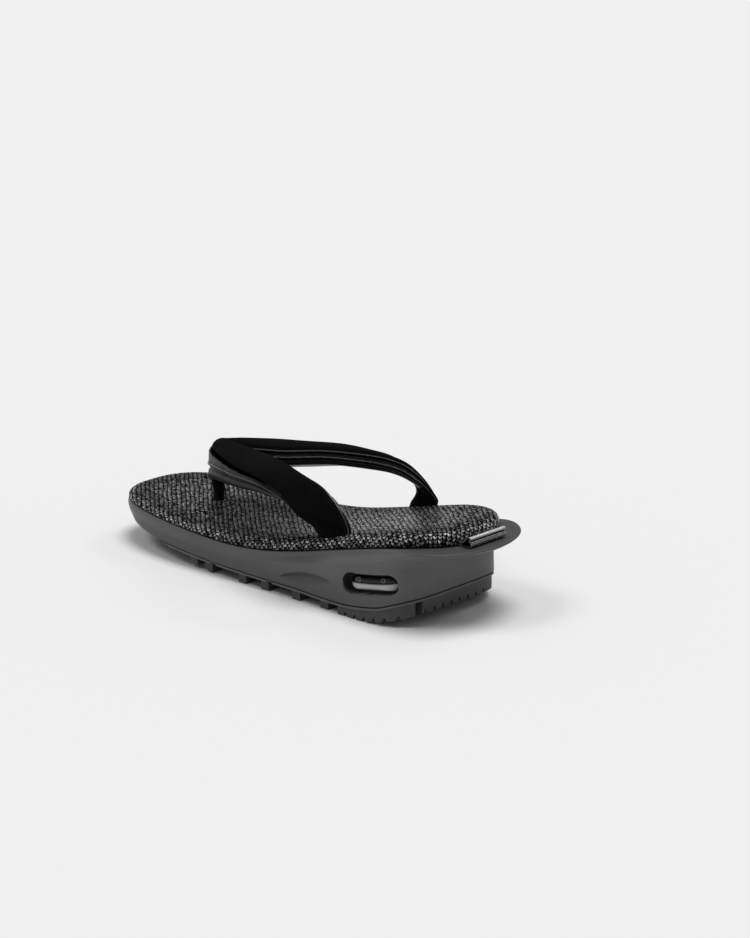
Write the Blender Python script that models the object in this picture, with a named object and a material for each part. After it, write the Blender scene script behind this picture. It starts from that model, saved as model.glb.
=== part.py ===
"""Thong sandal: a padded woven footbed on a sprung foam sole with a rear shelf, a windowed
air unit, a lugged rubber outsole, a folded heel tab and a two-legged padded strap on a toe post.
Metres, +X towards the toe, +Y to the outer side, +Z up, standing on the floor at Z = 0."""
import math

import bmesh
import bpy
from mathutils import Vector

# Footbed
FOOTBED_LENGTH = 0.268
BALL_WIDTH = 0.092
HEEL_WIDTH = 0.082
FOOTBED_HEEL_THICKNESS = 0.0088
FOOTBED_TOE_THICKNESS = 0.0040
HEEL_ROUND_LENGTH = 0.0536
TOE_ROUND_LENGTH = 0.0911
HEEL_POWER = 2.54
TOE_POWER = 2.7
THINNING = (0.30, 0.78)
WIDENING = (0.20, 0.66)

# Sole
SHELF_HEIGHT = 0.047
SHELF_REACH = 0.0143
SHELF_ROUND_LENGTH = 0.0293
SHELF_HALF_WIDTH = 0.042
SHELF_EDGE = 0.0028
SHELF_POWER = 1.95
SHELF_BLEND = (0.06, 0.24)
SHELF_EDGE_GROWTH = (0.00, 0.20)
SHELF_EDGE_START = 0.35
CREST_REACH = 0.0105
CREST_ROUND_LENGTH = 0.0555
CREST_POWER = 2.0
SOLE_WIDTH = 0.092
SOLE_BACK = 0.0160
SOLE_CORNER_LENGTH = 0.045
SOLE_CORNER_POWER = 4.5
TOE_UNDERCUT = 0.0040
LIP = 0.0006
FLARE = 0.0005

# Outsole
PLATE_THICKNESS = 0.0022
PLATE_WEB = 0.0009
PLATE_FRONT = 0.209
FLEX_GAP_WIDTH = 0.0050
HEEL_BLOCK_FRONT = 0.0655
HEEL_BLOCK_INSET = 0.0009
STUD_LENGTH = 0.0060
STUD_WIDTH = 0.0125
STUD_EDGE_INSET = 0.0022
MIDDLE_STUD_WIDTH = 0.026
NOTCH_WIDTH = 0.0042
NOTCH_SIDE = 0.0290
NOTCH_LENGTH = 0.030

# Window and air unit
WINDOW_LENGTH = 0.0370
WINDOW_HEIGHT = 0.0116
WINDOW_CORNER = 0.0049
WINDOW_FROM_HEEL = 0.0424
WINDOW_CENTRE_HEIGHT = 0.0226
WINDOW_SLOPE = 9.0
WINDOW_DEPTH = 0.0052
AIR_UNIT_LENGTH = 0.0325
AIR_UNIT_HEIGHT = 0.0086
AIR_UNIT_CORNER = 0.0038
AIR_UNIT_RECESS = 0.0028

# Side scoop
SCOOP_FROM_HEEL = 0.0905
SCOOP_CENTRE_HEIGHT = 0.0150
SCOOP_LENGTH = 0.042
SCOOP_HEIGHT = 0.0085
SCOOP_DEPTH = 0.0026
SCOOP_SLOPE = 8.0

# Heel tab
TAB_WIDTH = 0.0300
TAB_THICKNESS = 0.0009
TAB_REACH = 0.0068
TAB_HEIGHT = 0.0062
TAB_TONGUE = 0.0070

# Strap and toe post
STRAP_THICKNESS = 0.0105
STRAP_RISE = 0.0410
STRAP_FOOT_FROM_HEEL = 0.0755
STRAP_FOOT_HALF_SPREAD = 0.0380
STRAP_POCKET_DEPTH = 0.0030
NOSE_OVERLAP = 0.0030
NOSE_TUCK = 0.75
POST_FROM_HEEL = 0.2082
POST_LENGTH = 0.0072
POST_WIDTH = 0.0080
POST_FLARE_WIDTH = 0.0100
POST_POCKET_DEPTH = 0.0020

# Fits
SEAT_GAP = 0.0003

# Fineness
HEEL_STEPS = 12
MIDDLE_STEPS = 12
TOE_STEPS = 11
CORNER_CROWDING = 1.5
TOE_CROWDING = 1.25
CORNER_STEPS = 5
STRAP_STEPS = 22
STRAP_POCKET_STEPS = 4
POST_SIDES = 24
SCOOP_SIDES = 20
SMOOTH_ANGLE = 35
MERGE_DISTANCE = 0.00002

# The sprung lines of the sole. Columns: share of the footbed's length, then the heights of the footbed
# seat, the crest of the side and the top of the wall, as shares of the shelf's height.
SOLE_LINES = (
    (-0.060, 1.000, 0.926, 0.812),
    (0.000, 1.000, 0.918, 0.812),
    (0.050, 0.996, 0.884, 0.806),
    (0.100, 0.962, 0.818, 0.766),
    (0.150, 0.912, 0.757, 0.700),
    (0.200, 0.846, 0.686, 0.632),
    (0.250, 0.776, 0.625, 0.573),
    (0.300, 0.705, 0.566, 0.516),
    (0.350, 0.636, 0.510, 0.462),
    (0.400, 0.574, 0.459, 0.412),
    (0.450, 0.521, 0.412, 0.367),
    (0.500, 0.485, 0.376, 0.331),
    (0.550, 0.466, 0.350, 0.305),
    (0.600, 0.462, 0.340, 0.294),
    (0.700, 0.486, 0.356, 0.309),
    (0.800, 0.521, 0.392, 0.344),
    (0.900, 0.543, 0.428, 0.385),
    (1.000, 0.549, 0.452, 0.412),
)
# Columns: share of the footbed's length, height of the outsole's upper line and of the ground
# contact under it, as shares of the shelf's height.
OUTSOLE_LINES = (
    (0.055, 0.355, 0.158),
    (0.075, 0.330, 0.124),
    (0.100, 0.285, 0.085),
    (0.130, 0.228, 0.046),
    (0.175, 0.181, 0.008),
    (0.210, 0.155, 0.000),
    (0.240, 0.145, 0.000),
    (0.300, 0.148, 0.000),
    (0.360, 0.160, 0.000),
    (0.450, 0.160, 0.000),
    (0.540, 0.162, 0.000),
    (0.600, 0.167, 0.012),
    (0.650, 0.180, 0.030),
    (0.720, 0.204, 0.074),
    (0.780, 0.230, 0.120),
    (0.850, 0.262, 0.170),
    (0.930, 0.305, 0.215),
    (1.000, 0.370, 0.300),
)
# Columns: inset from the footbed's outline as a share of its heel thickness, rise as a share of the
# local thickness.
FOOTBED_SECTION = (
    (0.160, 0.00),
    (0.020, 0.14),
    (0.000, 0.40),
    (0.070, 0.66),
    (0.250, 0.87),
    (0.560, 0.98),
    (1.100, 0.99),
    (2.200, 0.90),
)
# Strap edges from nose to foot on one side. Columns: run back from the post as a share of the distance
# from post to foot, spread as a share of the foot's half spread, height over the footbed as a share
# of the rise.
STRAP_UPPER_EDGE = (
    (0.034, -0.030, 0.955),
    (0.052, -0.030, 0.960),
    (0.146, -0.008, 0.966),
    (0.332, 0.145, 0.993),
    (0.556, 0.474, 1.000),
    (0.772, 0.776, 0.854),
    (0.914, 0.908, 0.664),
    (1.015, 0.974, 0.378),
    (1.079, 1.008, 0.095),
    (1.082, 0.995, 0.000),
)
STRAP_LOWER_EDGE = (
    (-0.027, 0.021, 0.735),
    (-0.015, 0.150, 0.775),
    (0.071, 0.408, 0.876),
    (0.272, 0.737, 0.946),
    (0.526, 1.040, 0.924),
    (0.709, 1.210, 0.746),
    (0.802, 1.290, 0.561),
    (0.877, 1.329, 0.359),
    (0.925, 1.215, 0.175),
    (0.918, 1.026, 0.000),
)
# Columns: share of the way from nose to foot, depth of the strap under its upper edge and under its
# lower edge as shares of its thickness, shares by which that depth hangs straight down and by which
# it points at the middle plane.
STRAP_DEPTHS = (
    (0.00, 1.00, 0.95, 1.00, 0.00),
    (0.11, 1.00, 0.95, 1.00, 0.00),
    (0.22, 1.00, 0.95, 0.80, 0.00),
    (0.33, 1.00, 0.88, 0.40, 0.00),
    (0.44, 1.00, 0.70, 0.00, 0.00),
    (0.56, 1.00, 0.48, 0.00, 0.00),
    (0.67, 1.00, 0.43, 0.00, 0.05),
    (0.78, 0.95, 0.43, 0.00, 0.40),
    (0.89, 0.86, 0.47, 0.00, 0.80),
    (1.00, 0.78, 0.52, 0.00, 1.00),
)
# Columns: way across the strap from its upper to its lower edge, depth under the line between them as
# a share of the depth there.
STRAP_SECTION = (
    (0.000, 0.42),
    (0.012, 0.16),
    (0.060, 0.00),
    (0.200, -0.09),
    (0.420, -0.14),
    (0.660, -0.13),
    (0.860, -0.06),
    (0.970, 0.08),
    (1.000, 0.30),
    (1.000, 0.60),
    (0.965, 0.88),
    (0.860, 1.00),
    (0.550, 1.00),
    (0.250, 1.00),
    (0.060, 0.93),
    (0.000, 0.72),
)
# Middle line of the folded ribbon. Columns: reach behind the footbed as a share of the tab's reach,
# height over the shelf as a share of the tab's height; the tongue follows at both ends.
TAB_FOLD = (
    (0.840, 0.120),
    (0.940, 0.180),
    (0.980, 0.300),
    (0.950, 0.620),
    (0.880, 0.690),
    (0.930, 0.780),
    (0.880, 0.900),
    (0.770, 0.925),
    (0.640, 0.860),
    (0.350, 0.560),
    (0.120, 0.345),
    (0.000, 0.315),
)
# Columns: size of the air unit's section as a share of its full size, step back from its face as a
# share of its recess.
AIR_UNIT_DOME = (
    (0.72, 0.00),
    (0.93, 0.21),
    (1.00, 0.64),
)
# Shares of the footbed's length.
STUD_SHARES = (0.288, 0.371, 0.466, 0.535, 0.640, 0.688)
FLEX_GAP_SHARES = (0.446, 0.620)


def clear_scene():
    for item in list(bpy.data.objects):
        bpy.data.objects.remove(item, do_unlink=True)


def material(name, colour, roughness, metallic=0.0):
    made = bpy.data.materials.new(name)
    made.use_nodes = True
    shader = made.node_tree.nodes["Principled BSDF"]
    shader.inputs["Base Color"].default_value = (*colour, 1.0)
    shader.inputs["Roughness"].default_value = roughness
    shader.inputs["Metallic"].default_value = metallic
    return made


def along(table, share, column):
    """Smooth curve through one column of a table, held flat beyond its ends."""
    keys = [row[0] for row in table]
    values = [row[column] for row in table]
    if share <= keys[0]:
        return values[0]
    if share >= keys[-1]:
        return values[-1]
    i = max(k for k in range(len(keys) - 1) if keys[k] <= share)

    def slope(k):
        low, high = max(k - 1, 0), min(k + 1, len(keys) - 1)
        return (values[high] - values[low]) / (keys[high] - keys[low])

    span = keys[i + 1] - keys[i]
    t = (share - keys[i]) / span
    return (
        values[i] * (2 * t**3 - 3 * t**2 + 1)
        + slope(i) * span * (t**3 - 2 * t**2 + t)
        + values[i + 1] * (3 * t**2 - 2 * t**3)
        + slope(i + 1) * span * (t**3 - t**2)
    )


def ease(span, x):
    """Smooth rise from 0 to 1 between two shares of the footbed's length."""
    t = min(1.0, max(0.0, (x / FOOTBED_LENGTH - span[0]) / (span[1] - span[0])))
    return 0.5 - 0.5 * math.cos(math.pi * t)


def seat_height(x):
    return SHELF_HEIGHT * along(SOLE_LINES, x / FOOTBED_LENGTH, 1)


def crest_height(x):
    return SHELF_HEIGHT * along(SOLE_LINES, x / FOOTBED_LENGTH, 2)


def wall_top_height(x):
    return SHELF_HEIGHT * along(SOLE_LINES, x / FOOTBED_LENGTH, 3)


def outsole_height(x):
    return SHELF_HEIGHT * along(OUTSOLE_LINES, x / FOOTBED_LENGTH, 1)


def ground_height(x):
    return SHELF_HEIGHT * max(0.0, along(OUTSOLE_LINES, x / FOOTBED_LENGTH, 2))


def footbed_thickness(x):
    share = ease(THINNING, x)
    return FOOTBED_HEEL_THICKNESS + (FOOTBED_TOE_THICKNESS - FOOTBED_HEEL_THICKNESS) * share


def footbed_top(x):
    return seat_height(x) + footbed_thickness(x)


def footbed_half_width(x):
    return 0.5 * (HEEL_WIDTH + (BALL_WIDTH - HEEL_WIDTH) * ease(WIDENING, x))


def shelf_half_width(x):
    share = ease(SHELF_BLEND, x)
    return SHELF_HALF_WIDTH + (footbed_half_width(x) + LIP - SHELF_HALF_WIDTH) * share


def sole_half_width(x):
    return 0.5 * SOLE_WIDTH


def outline(back, heel_length, heel_power, toe_start, tip, toe_power, half_width):
    """Half outline from the back to the tip: a superellipse heel, a plain middle, a superellipse toe."""
    points = []
    for i in range(HEEL_STEPS):
        angle = 0.5 * math.pi * (1 - (1 - i / HEEL_STEPS) ** CORNER_CROWDING)
        x = back + heel_length * (1 - math.cos(angle) ** (2 / heel_power))
        points.append((x, half_width(x) * math.sin(angle) ** (2 / heel_power)))
    for i in range(MIDDLE_STEPS):
        x = back + heel_length + (toe_start - back - heel_length) * i / MIDDLE_STEPS
        points.append((x, half_width(x)))
    for i in range(TOE_STEPS + 1):
        angle = 0.5 * math.pi * (i / TOE_STEPS) ** TOE_CROWDING
        reach = max(0.0, math.sin(angle)) ** (2 / toe_power)
        drop = max(0.0, math.cos(angle)) ** (2 / toe_power) if i < TOE_STEPS else 0.0
        x = toe_start + (tip - toe_start) * reach
        points.append((x, half_width(x) * drop))
    return points


def inset(points, distance):
    """Half outline moved inwards along its own normals, closed on the middle line."""
    moved = []
    for i, (x, y) in enumerate(points):
        before = points[i - 1] if i else (points[1][0], -points[1][1])
        after = points[i + 1] if i < len(points) - 1 else (points[-2][0], -points[-2][1])
        tangent = Vector((after[0] - before[0], after[1] - before[1])).normalized()
        new = Vector((x, y)) + distance * Vector((tangent.y, -tangent.x))
        moved.append((new.x, 0.0 if i in (0, len(points) - 1) else new.y))
    return moved


def ring(points, height):
    """Closed ring from a half outline, mirrored across the middle line."""
    outer = [Vector((x, y, height(x))) for x, y in points]
    inner = [Vector((x, -y, height(x))) for x, y in points[1:-1]]
    return outer + inner[::-1]


TOE_START = FOOTBED_LENGTH - TOE_ROUND_LENGTH
FOOTBED_OUTLINE = outline(
    0.0, HEEL_ROUND_LENGTH, HEEL_POWER, TOE_START, FOOTBED_LENGTH, TOE_POWER, footbed_half_width
)
SHELF_OUTLINE = outline(
    -SHELF_REACH, SHELF_ROUND_LENGTH, SHELF_POWER, TOE_START, FOOTBED_LENGTH + LIP, TOE_POWER,
    shelf_half_width,
)
CREST_OUTLINE = outline(
    -CREST_REACH, CREST_ROUND_LENGTH, CREST_POWER, TOE_START, FOOTBED_LENGTH + LIP, TOE_POWER,
    sole_half_width,
)
WALL_TOP_OUTLINE = outline(
    SOLE_BACK + FLARE, SOLE_CORNER_LENGTH, SOLE_CORNER_POWER, TOE_START, FOOTBED_LENGTH, TOE_POWER,
    lambda x: sole_half_width(x) - FLARE,
)
WALL_FOOT_OUTLINE = outline(
    SOLE_BACK, SOLE_CORNER_LENGTH, SOLE_CORNER_POWER, TOE_START, FOOTBED_LENGTH - TOE_UNDERCUT, TOE_POWER,
    sole_half_width,
)
WHOLE_LENGTH = FOOTBED_LENGTH + LIP + SHELF_REACH
MIDDLE_X = FOOTBED_LENGTH + LIP - 0.5 * WHOLE_LENGTH


def half_width_at(points, x):
    for (x0, y0), (x1, y1) in zip(points[:-1], points[1:]):
        if x0 <= x <= x1:
            return y0 + (y1 - y0) * (x - x0) / max(x1 - x0, 1e-9)
    return 0.0


def make(name, verts, faces, look, hidden=False):
    mesh = bpy.data.meshes.new(name)
    mesh.from_pydata([(v[0] - MIDDLE_X, v[1], v[2]) for v in verts], [], faces)
    mesh.validate()
    tool = bmesh.new()
    tool.from_mesh(mesh)
    bmesh.ops.recalc_face_normals(tool, faces=tool.faces)
    tool.to_mesh(mesh)
    tool.free()
    mesh.shade_smooth()
    mesh.set_sharp_from_angle(angle=math.radians(SMOOTH_ANGLE))
    made = bpy.data.objects.new(name, mesh)
    bpy.context.scene.collection.objects.link(made)
    if look:
        mesh.materials.append(look)
    if hidden:
        made.hide_render = True
        made.display_type = "WIRE"
    return made


def stacked(rings):
    """Side walls between equal closed rings, in quads."""
    count = len(rings[0])
    verts = [v for loop in rings for v in loop]
    faces = []
    for low in range(0, len(verts) - count, count):
        for i in range(count):
            j = (i + 1) % count
            faces.append((low + i, low + j, low + count + j, low + count + i))
    return verts, faces


def strip_cap(first, count):
    """Cap of a mirrored ring, in strips across the middle line."""
    half = count // 2
    faces = [(first, first + 1, first + count - 1)]
    for i in range(1, half - 1):
        faces.append((first + i, first + i + 1, first + count - i - 1, first + count - i))
    faces.append((first + half - 1, first + half, first + half + 1))
    return faces


def loft(name, rings, look, hidden=False):
    verts, faces = stacked(rings)
    count = len(rings[0])
    faces += strip_cap(0, count) + strip_cap(len(verts) - count, count)
    return make(name, verts, faces, look, hidden)


def prism(name, outline_points, low, high, look, hidden=False):
    """Flat polygon in X and Z carried along Y, between two values or functions of x."""
    low_at = low if callable(low) else (lambda x: low)
    high_at = high if callable(high) else (lambda x: high)
    count = len(outline_points)
    verts = [(x, low_at(x), z) for x, z in outline_points] + [(x, high_at(x), z) for x, z in outline_points]
    faces = [(i, (i + 1) % count, count + (i + 1) % count, count + i) for i in range(count)]
    faces += [tuple(range(count)), tuple(range(count, 2 * count))]
    return make(name, verts, faces, look, hidden)


def box(name, low, high, hidden=True, look=None):
    (x0, y0, z0), (x1, y1, z1) = low, high
    return prism(name, [(x0, z0), (x1, z0), (x1, z1), (x0, z1)], y0, y1, look, hidden)


def slot(centre, length, height, slope, corner):
    """Rounded rectangle in X and Z, turned by slope degrees so that its heel end is the higher."""
    points = []
    for quarter, (sx, sz) in enumerate(((1, 1), (-1, 1), (-1, -1), (1, -1))):
        for i in range(CORNER_STEPS + 1):
            angle = 0.5 * math.pi * (quarter + i / CORNER_STEPS)
            points.append((
                sx * (0.5 * length - corner) + corner * math.cos(angle),
                sz * (0.5 * height - corner) + corner * math.sin(angle),
            ))
    return [turned_in_side_view(centre, x, z, slope) for x, z in points]


def turned_in_side_view(centre, x, z, slope):
    turn = math.radians(-slope)
    return (
        centre[0] + x * math.cos(turn) - z * math.sin(turn),
        centre[1] + x * math.sin(turn) + z * math.cos(turn),
    )


def cut(target, cutter, operation="DIFFERENCE"):
    step = target.modifiers.new(cutter.name, "BOOLEAN")
    step.operation = operation
    step.solver = "EXACT"
    step.object = cutter
    return cutter


def on_both_sides(piece):
    """Adds the piece's copy across the middle plane."""
    step = piece.modifiers.new("both sides", "MIRROR")
    step.use_axis = (False, True, False)
    step.use_mirror_merge = False
    step.merge_threshold = MERGE_DISTANCE
    return piece


def build_midsole(look):
    half_way = [((a[0] + b[0]) / 2, (a[1] + b[1]) / 2) for a, b in zip(WALL_FOOT_OUTLINE, WALL_TOP_OUTLINE)]
    body = loft("midsole", [
        ring(WALL_FOOT_OUTLINE, lambda x: outsole_height(x) + SEAT_GAP),
        ring(half_way, lambda x: 0.5 * (outsole_height(x) + wall_top_height(x))),
        ring(WALL_TOP_OUTLINE, wall_top_height),
        ring(CREST_OUTLINE, crest_height),
        ring(SHELF_OUTLINE, lambda x: seat_height(x) - shelf_edge(x)),
        ring(inset(SHELF_OUTLINE, LIP), seat_height),
    ], look)
    centre = (WINDOW_FROM_HEEL, WINDOW_CENTRE_HEIGHT)
    cut(body, on_both_sides(prism(
        "windows", slot(centre, WINDOW_LENGTH, WINDOW_HEIGHT, WINDOW_SLOPE, WINDOW_CORNER),
        lambda x: half_width_at(WALL_FOOT_OUTLINE, x) - WINDOW_DEPTH, SOLE_WIDTH, None, hidden=True,
    )))
    tunnel = slot(
        centre, AIR_UNIT_LENGTH + 2 * SEAT_GAP, AIR_UNIT_HEIGHT + 2 * SEAT_GAP, WINDOW_SLOPE,
        AIR_UNIT_CORNER + SEAT_GAP,
    )
    cut(body, prism("air_tunnel", tunnel, -SOLE_WIDTH, SOLE_WIDTH, None, hidden=True))
    cut(body, on_both_sides(build_scoop()))
    return body


def shelf_edge(x):
    return SHELF_EDGE * (SHELF_EDGE_START + (1 - SHELF_EDGE_START) * ease(SHELF_EDGE_GROWTH, x))


def build_scoop():
    """Flat ellipsoid that hollows the side of the sole under the waist."""
    tool = bmesh.new()
    bmesh.ops.create_uvsphere(tool, u_segments=SCOOP_SIDES, v_segments=SCOOP_SIDES // 2, radius=1.0)
    verts = []
    for v in tool.verts:
        x, z = turned_in_side_view(
            (SCOOP_FROM_HEEL, SCOOP_CENTRE_HEIGHT), 0.5 * SCOOP_LENGTH * v.co.x, 0.5 * SCOOP_HEIGHT * v.co.z,
            SCOOP_SLOPE,
        )
        verts.append((x, 0.5 * SOLE_WIDTH + SCOOP_DEPTH * (1 + 2 * v.co.y), z))
    faces = [tuple(v.index for v in f.verts) for f in tool.faces]
    tool.free()
    return make("scoops", verts, faces, None, hidden=True)


def build_air_unit(look):
    """Pill section carried across the sole, its ends domed and following the side walls."""
    rings = []
    for side in (-1, 1):
        for size, back in AIR_UNIT_DOME[::-side]:
            section = slot(
                (WINDOW_FROM_HEEL, WINDOW_CENTRE_HEIGHT), AIR_UNIT_LENGTH - (1 - size) * AIR_UNIT_HEIGHT,
                AIR_UNIT_HEIGHT * size, WINDOW_SLOPE, AIR_UNIT_CORNER * size,
            )
            rings.append([
                Vector((x, side * (half_width_at(WALL_FOOT_OUTLINE, x) - AIR_UNIT_RECESS * (1 + back)), z))
                for x, z in section
            ])
    return tube("air_unit", rings, look)


def build_footbed(look):
    rings = [
        ring(inset(FOOTBED_OUTLINE, share * FOOTBED_HEEL_THICKNESS),
             lambda x, r=rise: seat_height(x) + SEAT_GAP + (footbed_thickness(x) - SEAT_GAP) * r)
        for share, rise in FOOTBED_SECTION
    ]
    return loft("footbed", rings, look)


def half_outline_part(points, low, high):
    """Part of a half outline between two distances from the heel."""
    kept = [(x, y) for x, y in points if low < x < high]
    if high < points[-1][0]:
        kept.append((high, half_width_at(points, high)))
    if low > points[0][0]:
        kept.insert(0, (low, half_width_at(points, low)))
    return kept


def slab(name, half, low, high, look, hidden=False):
    """Solid under a half outline that may be open at its front and back, between two heights."""
    loops = []
    for height in (low, high):
        outer = [Vector((x, y, height(x))) for x, y in half]
        inner = [Vector((x, -y, height(x))) for x, y in half if y > 1e-6]
        loops.append(outer + inner[::-1])
    verts, faces = stacked(loops)
    count = len(loops[0])
    closed_back = half[0][1] <= 1e-6
    for first in (0, count):
        pairs = []
        for i in range(len(half)):
            j = (count - i) % count if closed_back else count - 1 - i
            pairs.append((first + i, first + j))
        for (a, b), (c, d) in zip(pairs[:-1], pairs[1:]):
            faces.append(tuple(dict.fromkeys((a, c, d, b))))
    return make(name, verts, faces, look, hidden)


def build_outsole(look):
    plate = slab(
        "outsole", half_outline_part(inset(WALL_FOOT_OUTLINE, 0.5 * LIP), SOLE_BACK, PLATE_FRONT),
        lambda x: outsole_height(x) - PLATE_THICKNESS, outsole_height, look,
    )
    for i, share in enumerate(FLEX_GAP_SHARES):
        x = share * FOOTBED_LENGTH
        cut(plate, box(
            f"flex_gap_{i}", (x - 0.5 * FLEX_GAP_WIDTH, -SOLE_WIDTH, 0.0),
            (x + 0.5 * FLEX_GAP_WIDTH, SOLE_WIDTH, outsole_height(x) - PLATE_WEB),
        ))
    block_outline = half_outline_part(
        inset(WALL_FOOT_OUTLINE, HEEL_BLOCK_INSET), SOLE_BACK + HEEL_BLOCK_INSET, HEEL_BLOCK_FRONT
    )
    block = slab(
        "heel_block", block_outline, ground_height, lambda x: outsole_height(x) - 0.5 * PLATE_THICKNESS,
        None, hidden=True,
    )
    notch_top = outsole_height(SOLE_BACK) - PLATE_THICKNESS
    cut(block, on_both_sides(box(
        "heel_notches", (SOLE_BACK - NOTCH_WIDTH, NOTCH_SIDE - 0.5 * NOTCH_WIDTH, -NOTCH_WIDTH),
        (SOLE_BACK + NOTCH_LENGTH, NOTCH_SIDE + 0.5 * NOTCH_WIDTH, notch_top),
    )))
    cut(plate, block, "UNION")
    for i, share in enumerate(STUD_SHARES):
        x = share * FOOTBED_LENGTH
        edge = half_width_at(WALL_FOOT_OUTLINE, x) - STUD_EDGE_INSET
        rows = (
            (edge - STUD_WIDTH, edge),
            (-0.5 * MIDDLE_STUD_WIDTH, 0.5 * MIDDLE_STUD_WIDTH),
            (-edge, STUD_WIDTH - edge),
        )
        for j, (y0, y1) in enumerate(rows):
            cut(plate, box(
                f"stud_{i}_{j}", (x - 0.5 * STUD_LENGTH, y0, ground_height(x)),
                (x + 0.5 * STUD_LENGTH, y1, outsole_height(x) - 0.5 * PLATE_THICKNESS),
            ), "UNION")
    return plate


def build_heel_tab(look):
    """Ribbon folded into a loop with a small roll on top, its two ends under the footbed."""
    low = SHELF_HEIGHT + SEAT_GAP + 0.5 * TAB_THICKNESS
    fold = [(-TAB_REACH * reach, SHELF_HEIGHT + SEAT_GAP + TAB_HEIGHT * rise) for reach, rise in TAB_FOLD]
    centre = [(TAB_TONGUE, low), *fold, (TAB_TONGUE, low + TAB_THICKNESS + SEAT_GAP)]
    left, right = [], []
    for i, point in enumerate(centre):
        before, after = centre[max(i - 1, 0)], centre[min(i + 1, len(centre) - 1)]
        tangent = (Vector(after) - Vector(before)).normalized()
        side = Vector((-tangent.y, tangent.x)) * 0.5 * TAB_THICKNESS
        left.append(tuple(Vector(point) + side))
        right.append(tuple(Vector(point) - side))
    return prism("heel_tab", left + right[::-1], -0.5 * TAB_WIDTH, 0.5 * TAB_WIDTH, look)


def strap_point(edge, share, drop):
    """Point on one edge of the strap, at a share of the way from its nose to its foot."""
    table = [(i / (len(edge) - 1), *row) for i, row in enumerate(edge)]
    back, spread, rise = (along(table, share, i) for i in (1, 2, 3))
    x = POST_FROM_HEEL - (POST_FROM_HEEL - STRAP_FOOT_FROM_HEEL) * back
    return Vector((x, STRAP_FOOT_HALF_SPREAD * spread, footbed_top(x) + STRAP_RISE * rise - drop))


def strap_rings(clearance=0.0):
    """Padded sections between the strap's two edges, from across its middle plane to one foot."""
    stations = []
    for i in range(STRAP_STEPS + 1):
        share = i / STRAP_STEPS
        drop = STRAP_POCKET_DEPTH + clearance if i == STRAP_STEPS else 0.0
        edges = [strap_point(edge, share, drop) for edge in (STRAP_UPPER_EDGE, STRAP_LOWER_EDGE)]
        stations.append((share, *edges))
    middles = [(upper + lower) / 2 for _, upper, lower in stations]
    rings = []
    for k, (share, upper, lower) in enumerate(stations):
        tangent = middles[min(k + 1, STRAP_STEPS)] - middles[max(k - 1, 0)]
        across = lower - upper
        normal = across.cross(tangent).normalized()
        inner, outer, hang, tuck = (along(STRAP_DEPTHS, share, i) for i in (1, 2, 3, 4))
        down = (Vector((0, -tuck, -hang)) - normal * (1 - hang - tuck)).normalized()
        loop = []
        for way, sink in STRAP_SECTION:
            depth = STRAP_THICKNESS * (inner + (outer - inner) * way)
            loop.append(upper + across * way + down * depth * sink)
        middle = sum(loop, Vector()) / len(loop)
        rings.append([point + (point - middle).normalized() * clearance for point in loop])
    nose = rings[0]
    middle = sum(nose, Vector()) / len(nose)
    rings.insert(0, [middle + (point - middle) * NOSE_TUCK - Vector((0, NOSE_OVERLAP, 0)) for point in nose])
    return rings


def build_strap(name, look, clearance=0.0, hidden=False):
    """Two legs that cross at the nose, joined there."""
    rings = strap_rings(clearance)
    strap = tube(name, rings, look, hidden)
    across = [[Vector((point.x, -point.y, point.z)) for point in loop] for loop in rings]
    cut(strap, tube(name + "_other_leg", across, None, hidden=True), "UNION")
    return strap


def tube(name, rings, look, hidden=False):
    verts, faces = stacked(rings)
    count = len(rings[0])
    faces += [tuple(range(count)), tuple(range(len(verts) - count, len(verts)))]
    return make(name, verts, faces, look, hidden)


def column(name, profile, centre, look, hidden=False):
    """Upright oval column, from rows of half length, half width and height."""
    turns = [2 * math.pi * k / POST_SIDES for k in range(POST_SIDES)]
    rings = [[Vector((centre + a * math.cos(t), b * math.sin(t), z)) for t in turns] for a, b, z in profile]
    return tube(name, rings, look, hidden)


def build_toe_post(look, footbed):
    seat = footbed_top(POST_FROM_HEEL)
    thick, wide, flare = 0.5 * POST_LENGTH, 0.5 * POST_WIDTH, 0.5 * POST_FLARE_WIDTH
    top = seat + STRAP_RISE * STRAP_LOWER_EDGE[0][2]
    post = column("toe_post", [
        (thick, wide, seat - POST_POCKET_DEPTH),
        (thick, wide, seat),
        (thick, 0.5 * (wide + flare), 0.5 * (seat + top)),
        (thick, flare, top - STRAP_THICKNESS),
        (thick, flare, top),
    ], POST_FROM_HEEL, look)
    cut(post, build_strap("strap_room", None, SEAT_GAP, hidden=True))
    cut(footbed, column("post_pocket", [
        (thick + SEAT_GAP, wide + SEAT_GAP, seat - POST_POCKET_DEPTH - SEAT_GAP),
        (thick + SEAT_GAP, wide + SEAT_GAP, seat + thick),
    ], POST_FROM_HEEL, None, hidden=True))
    return post


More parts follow.
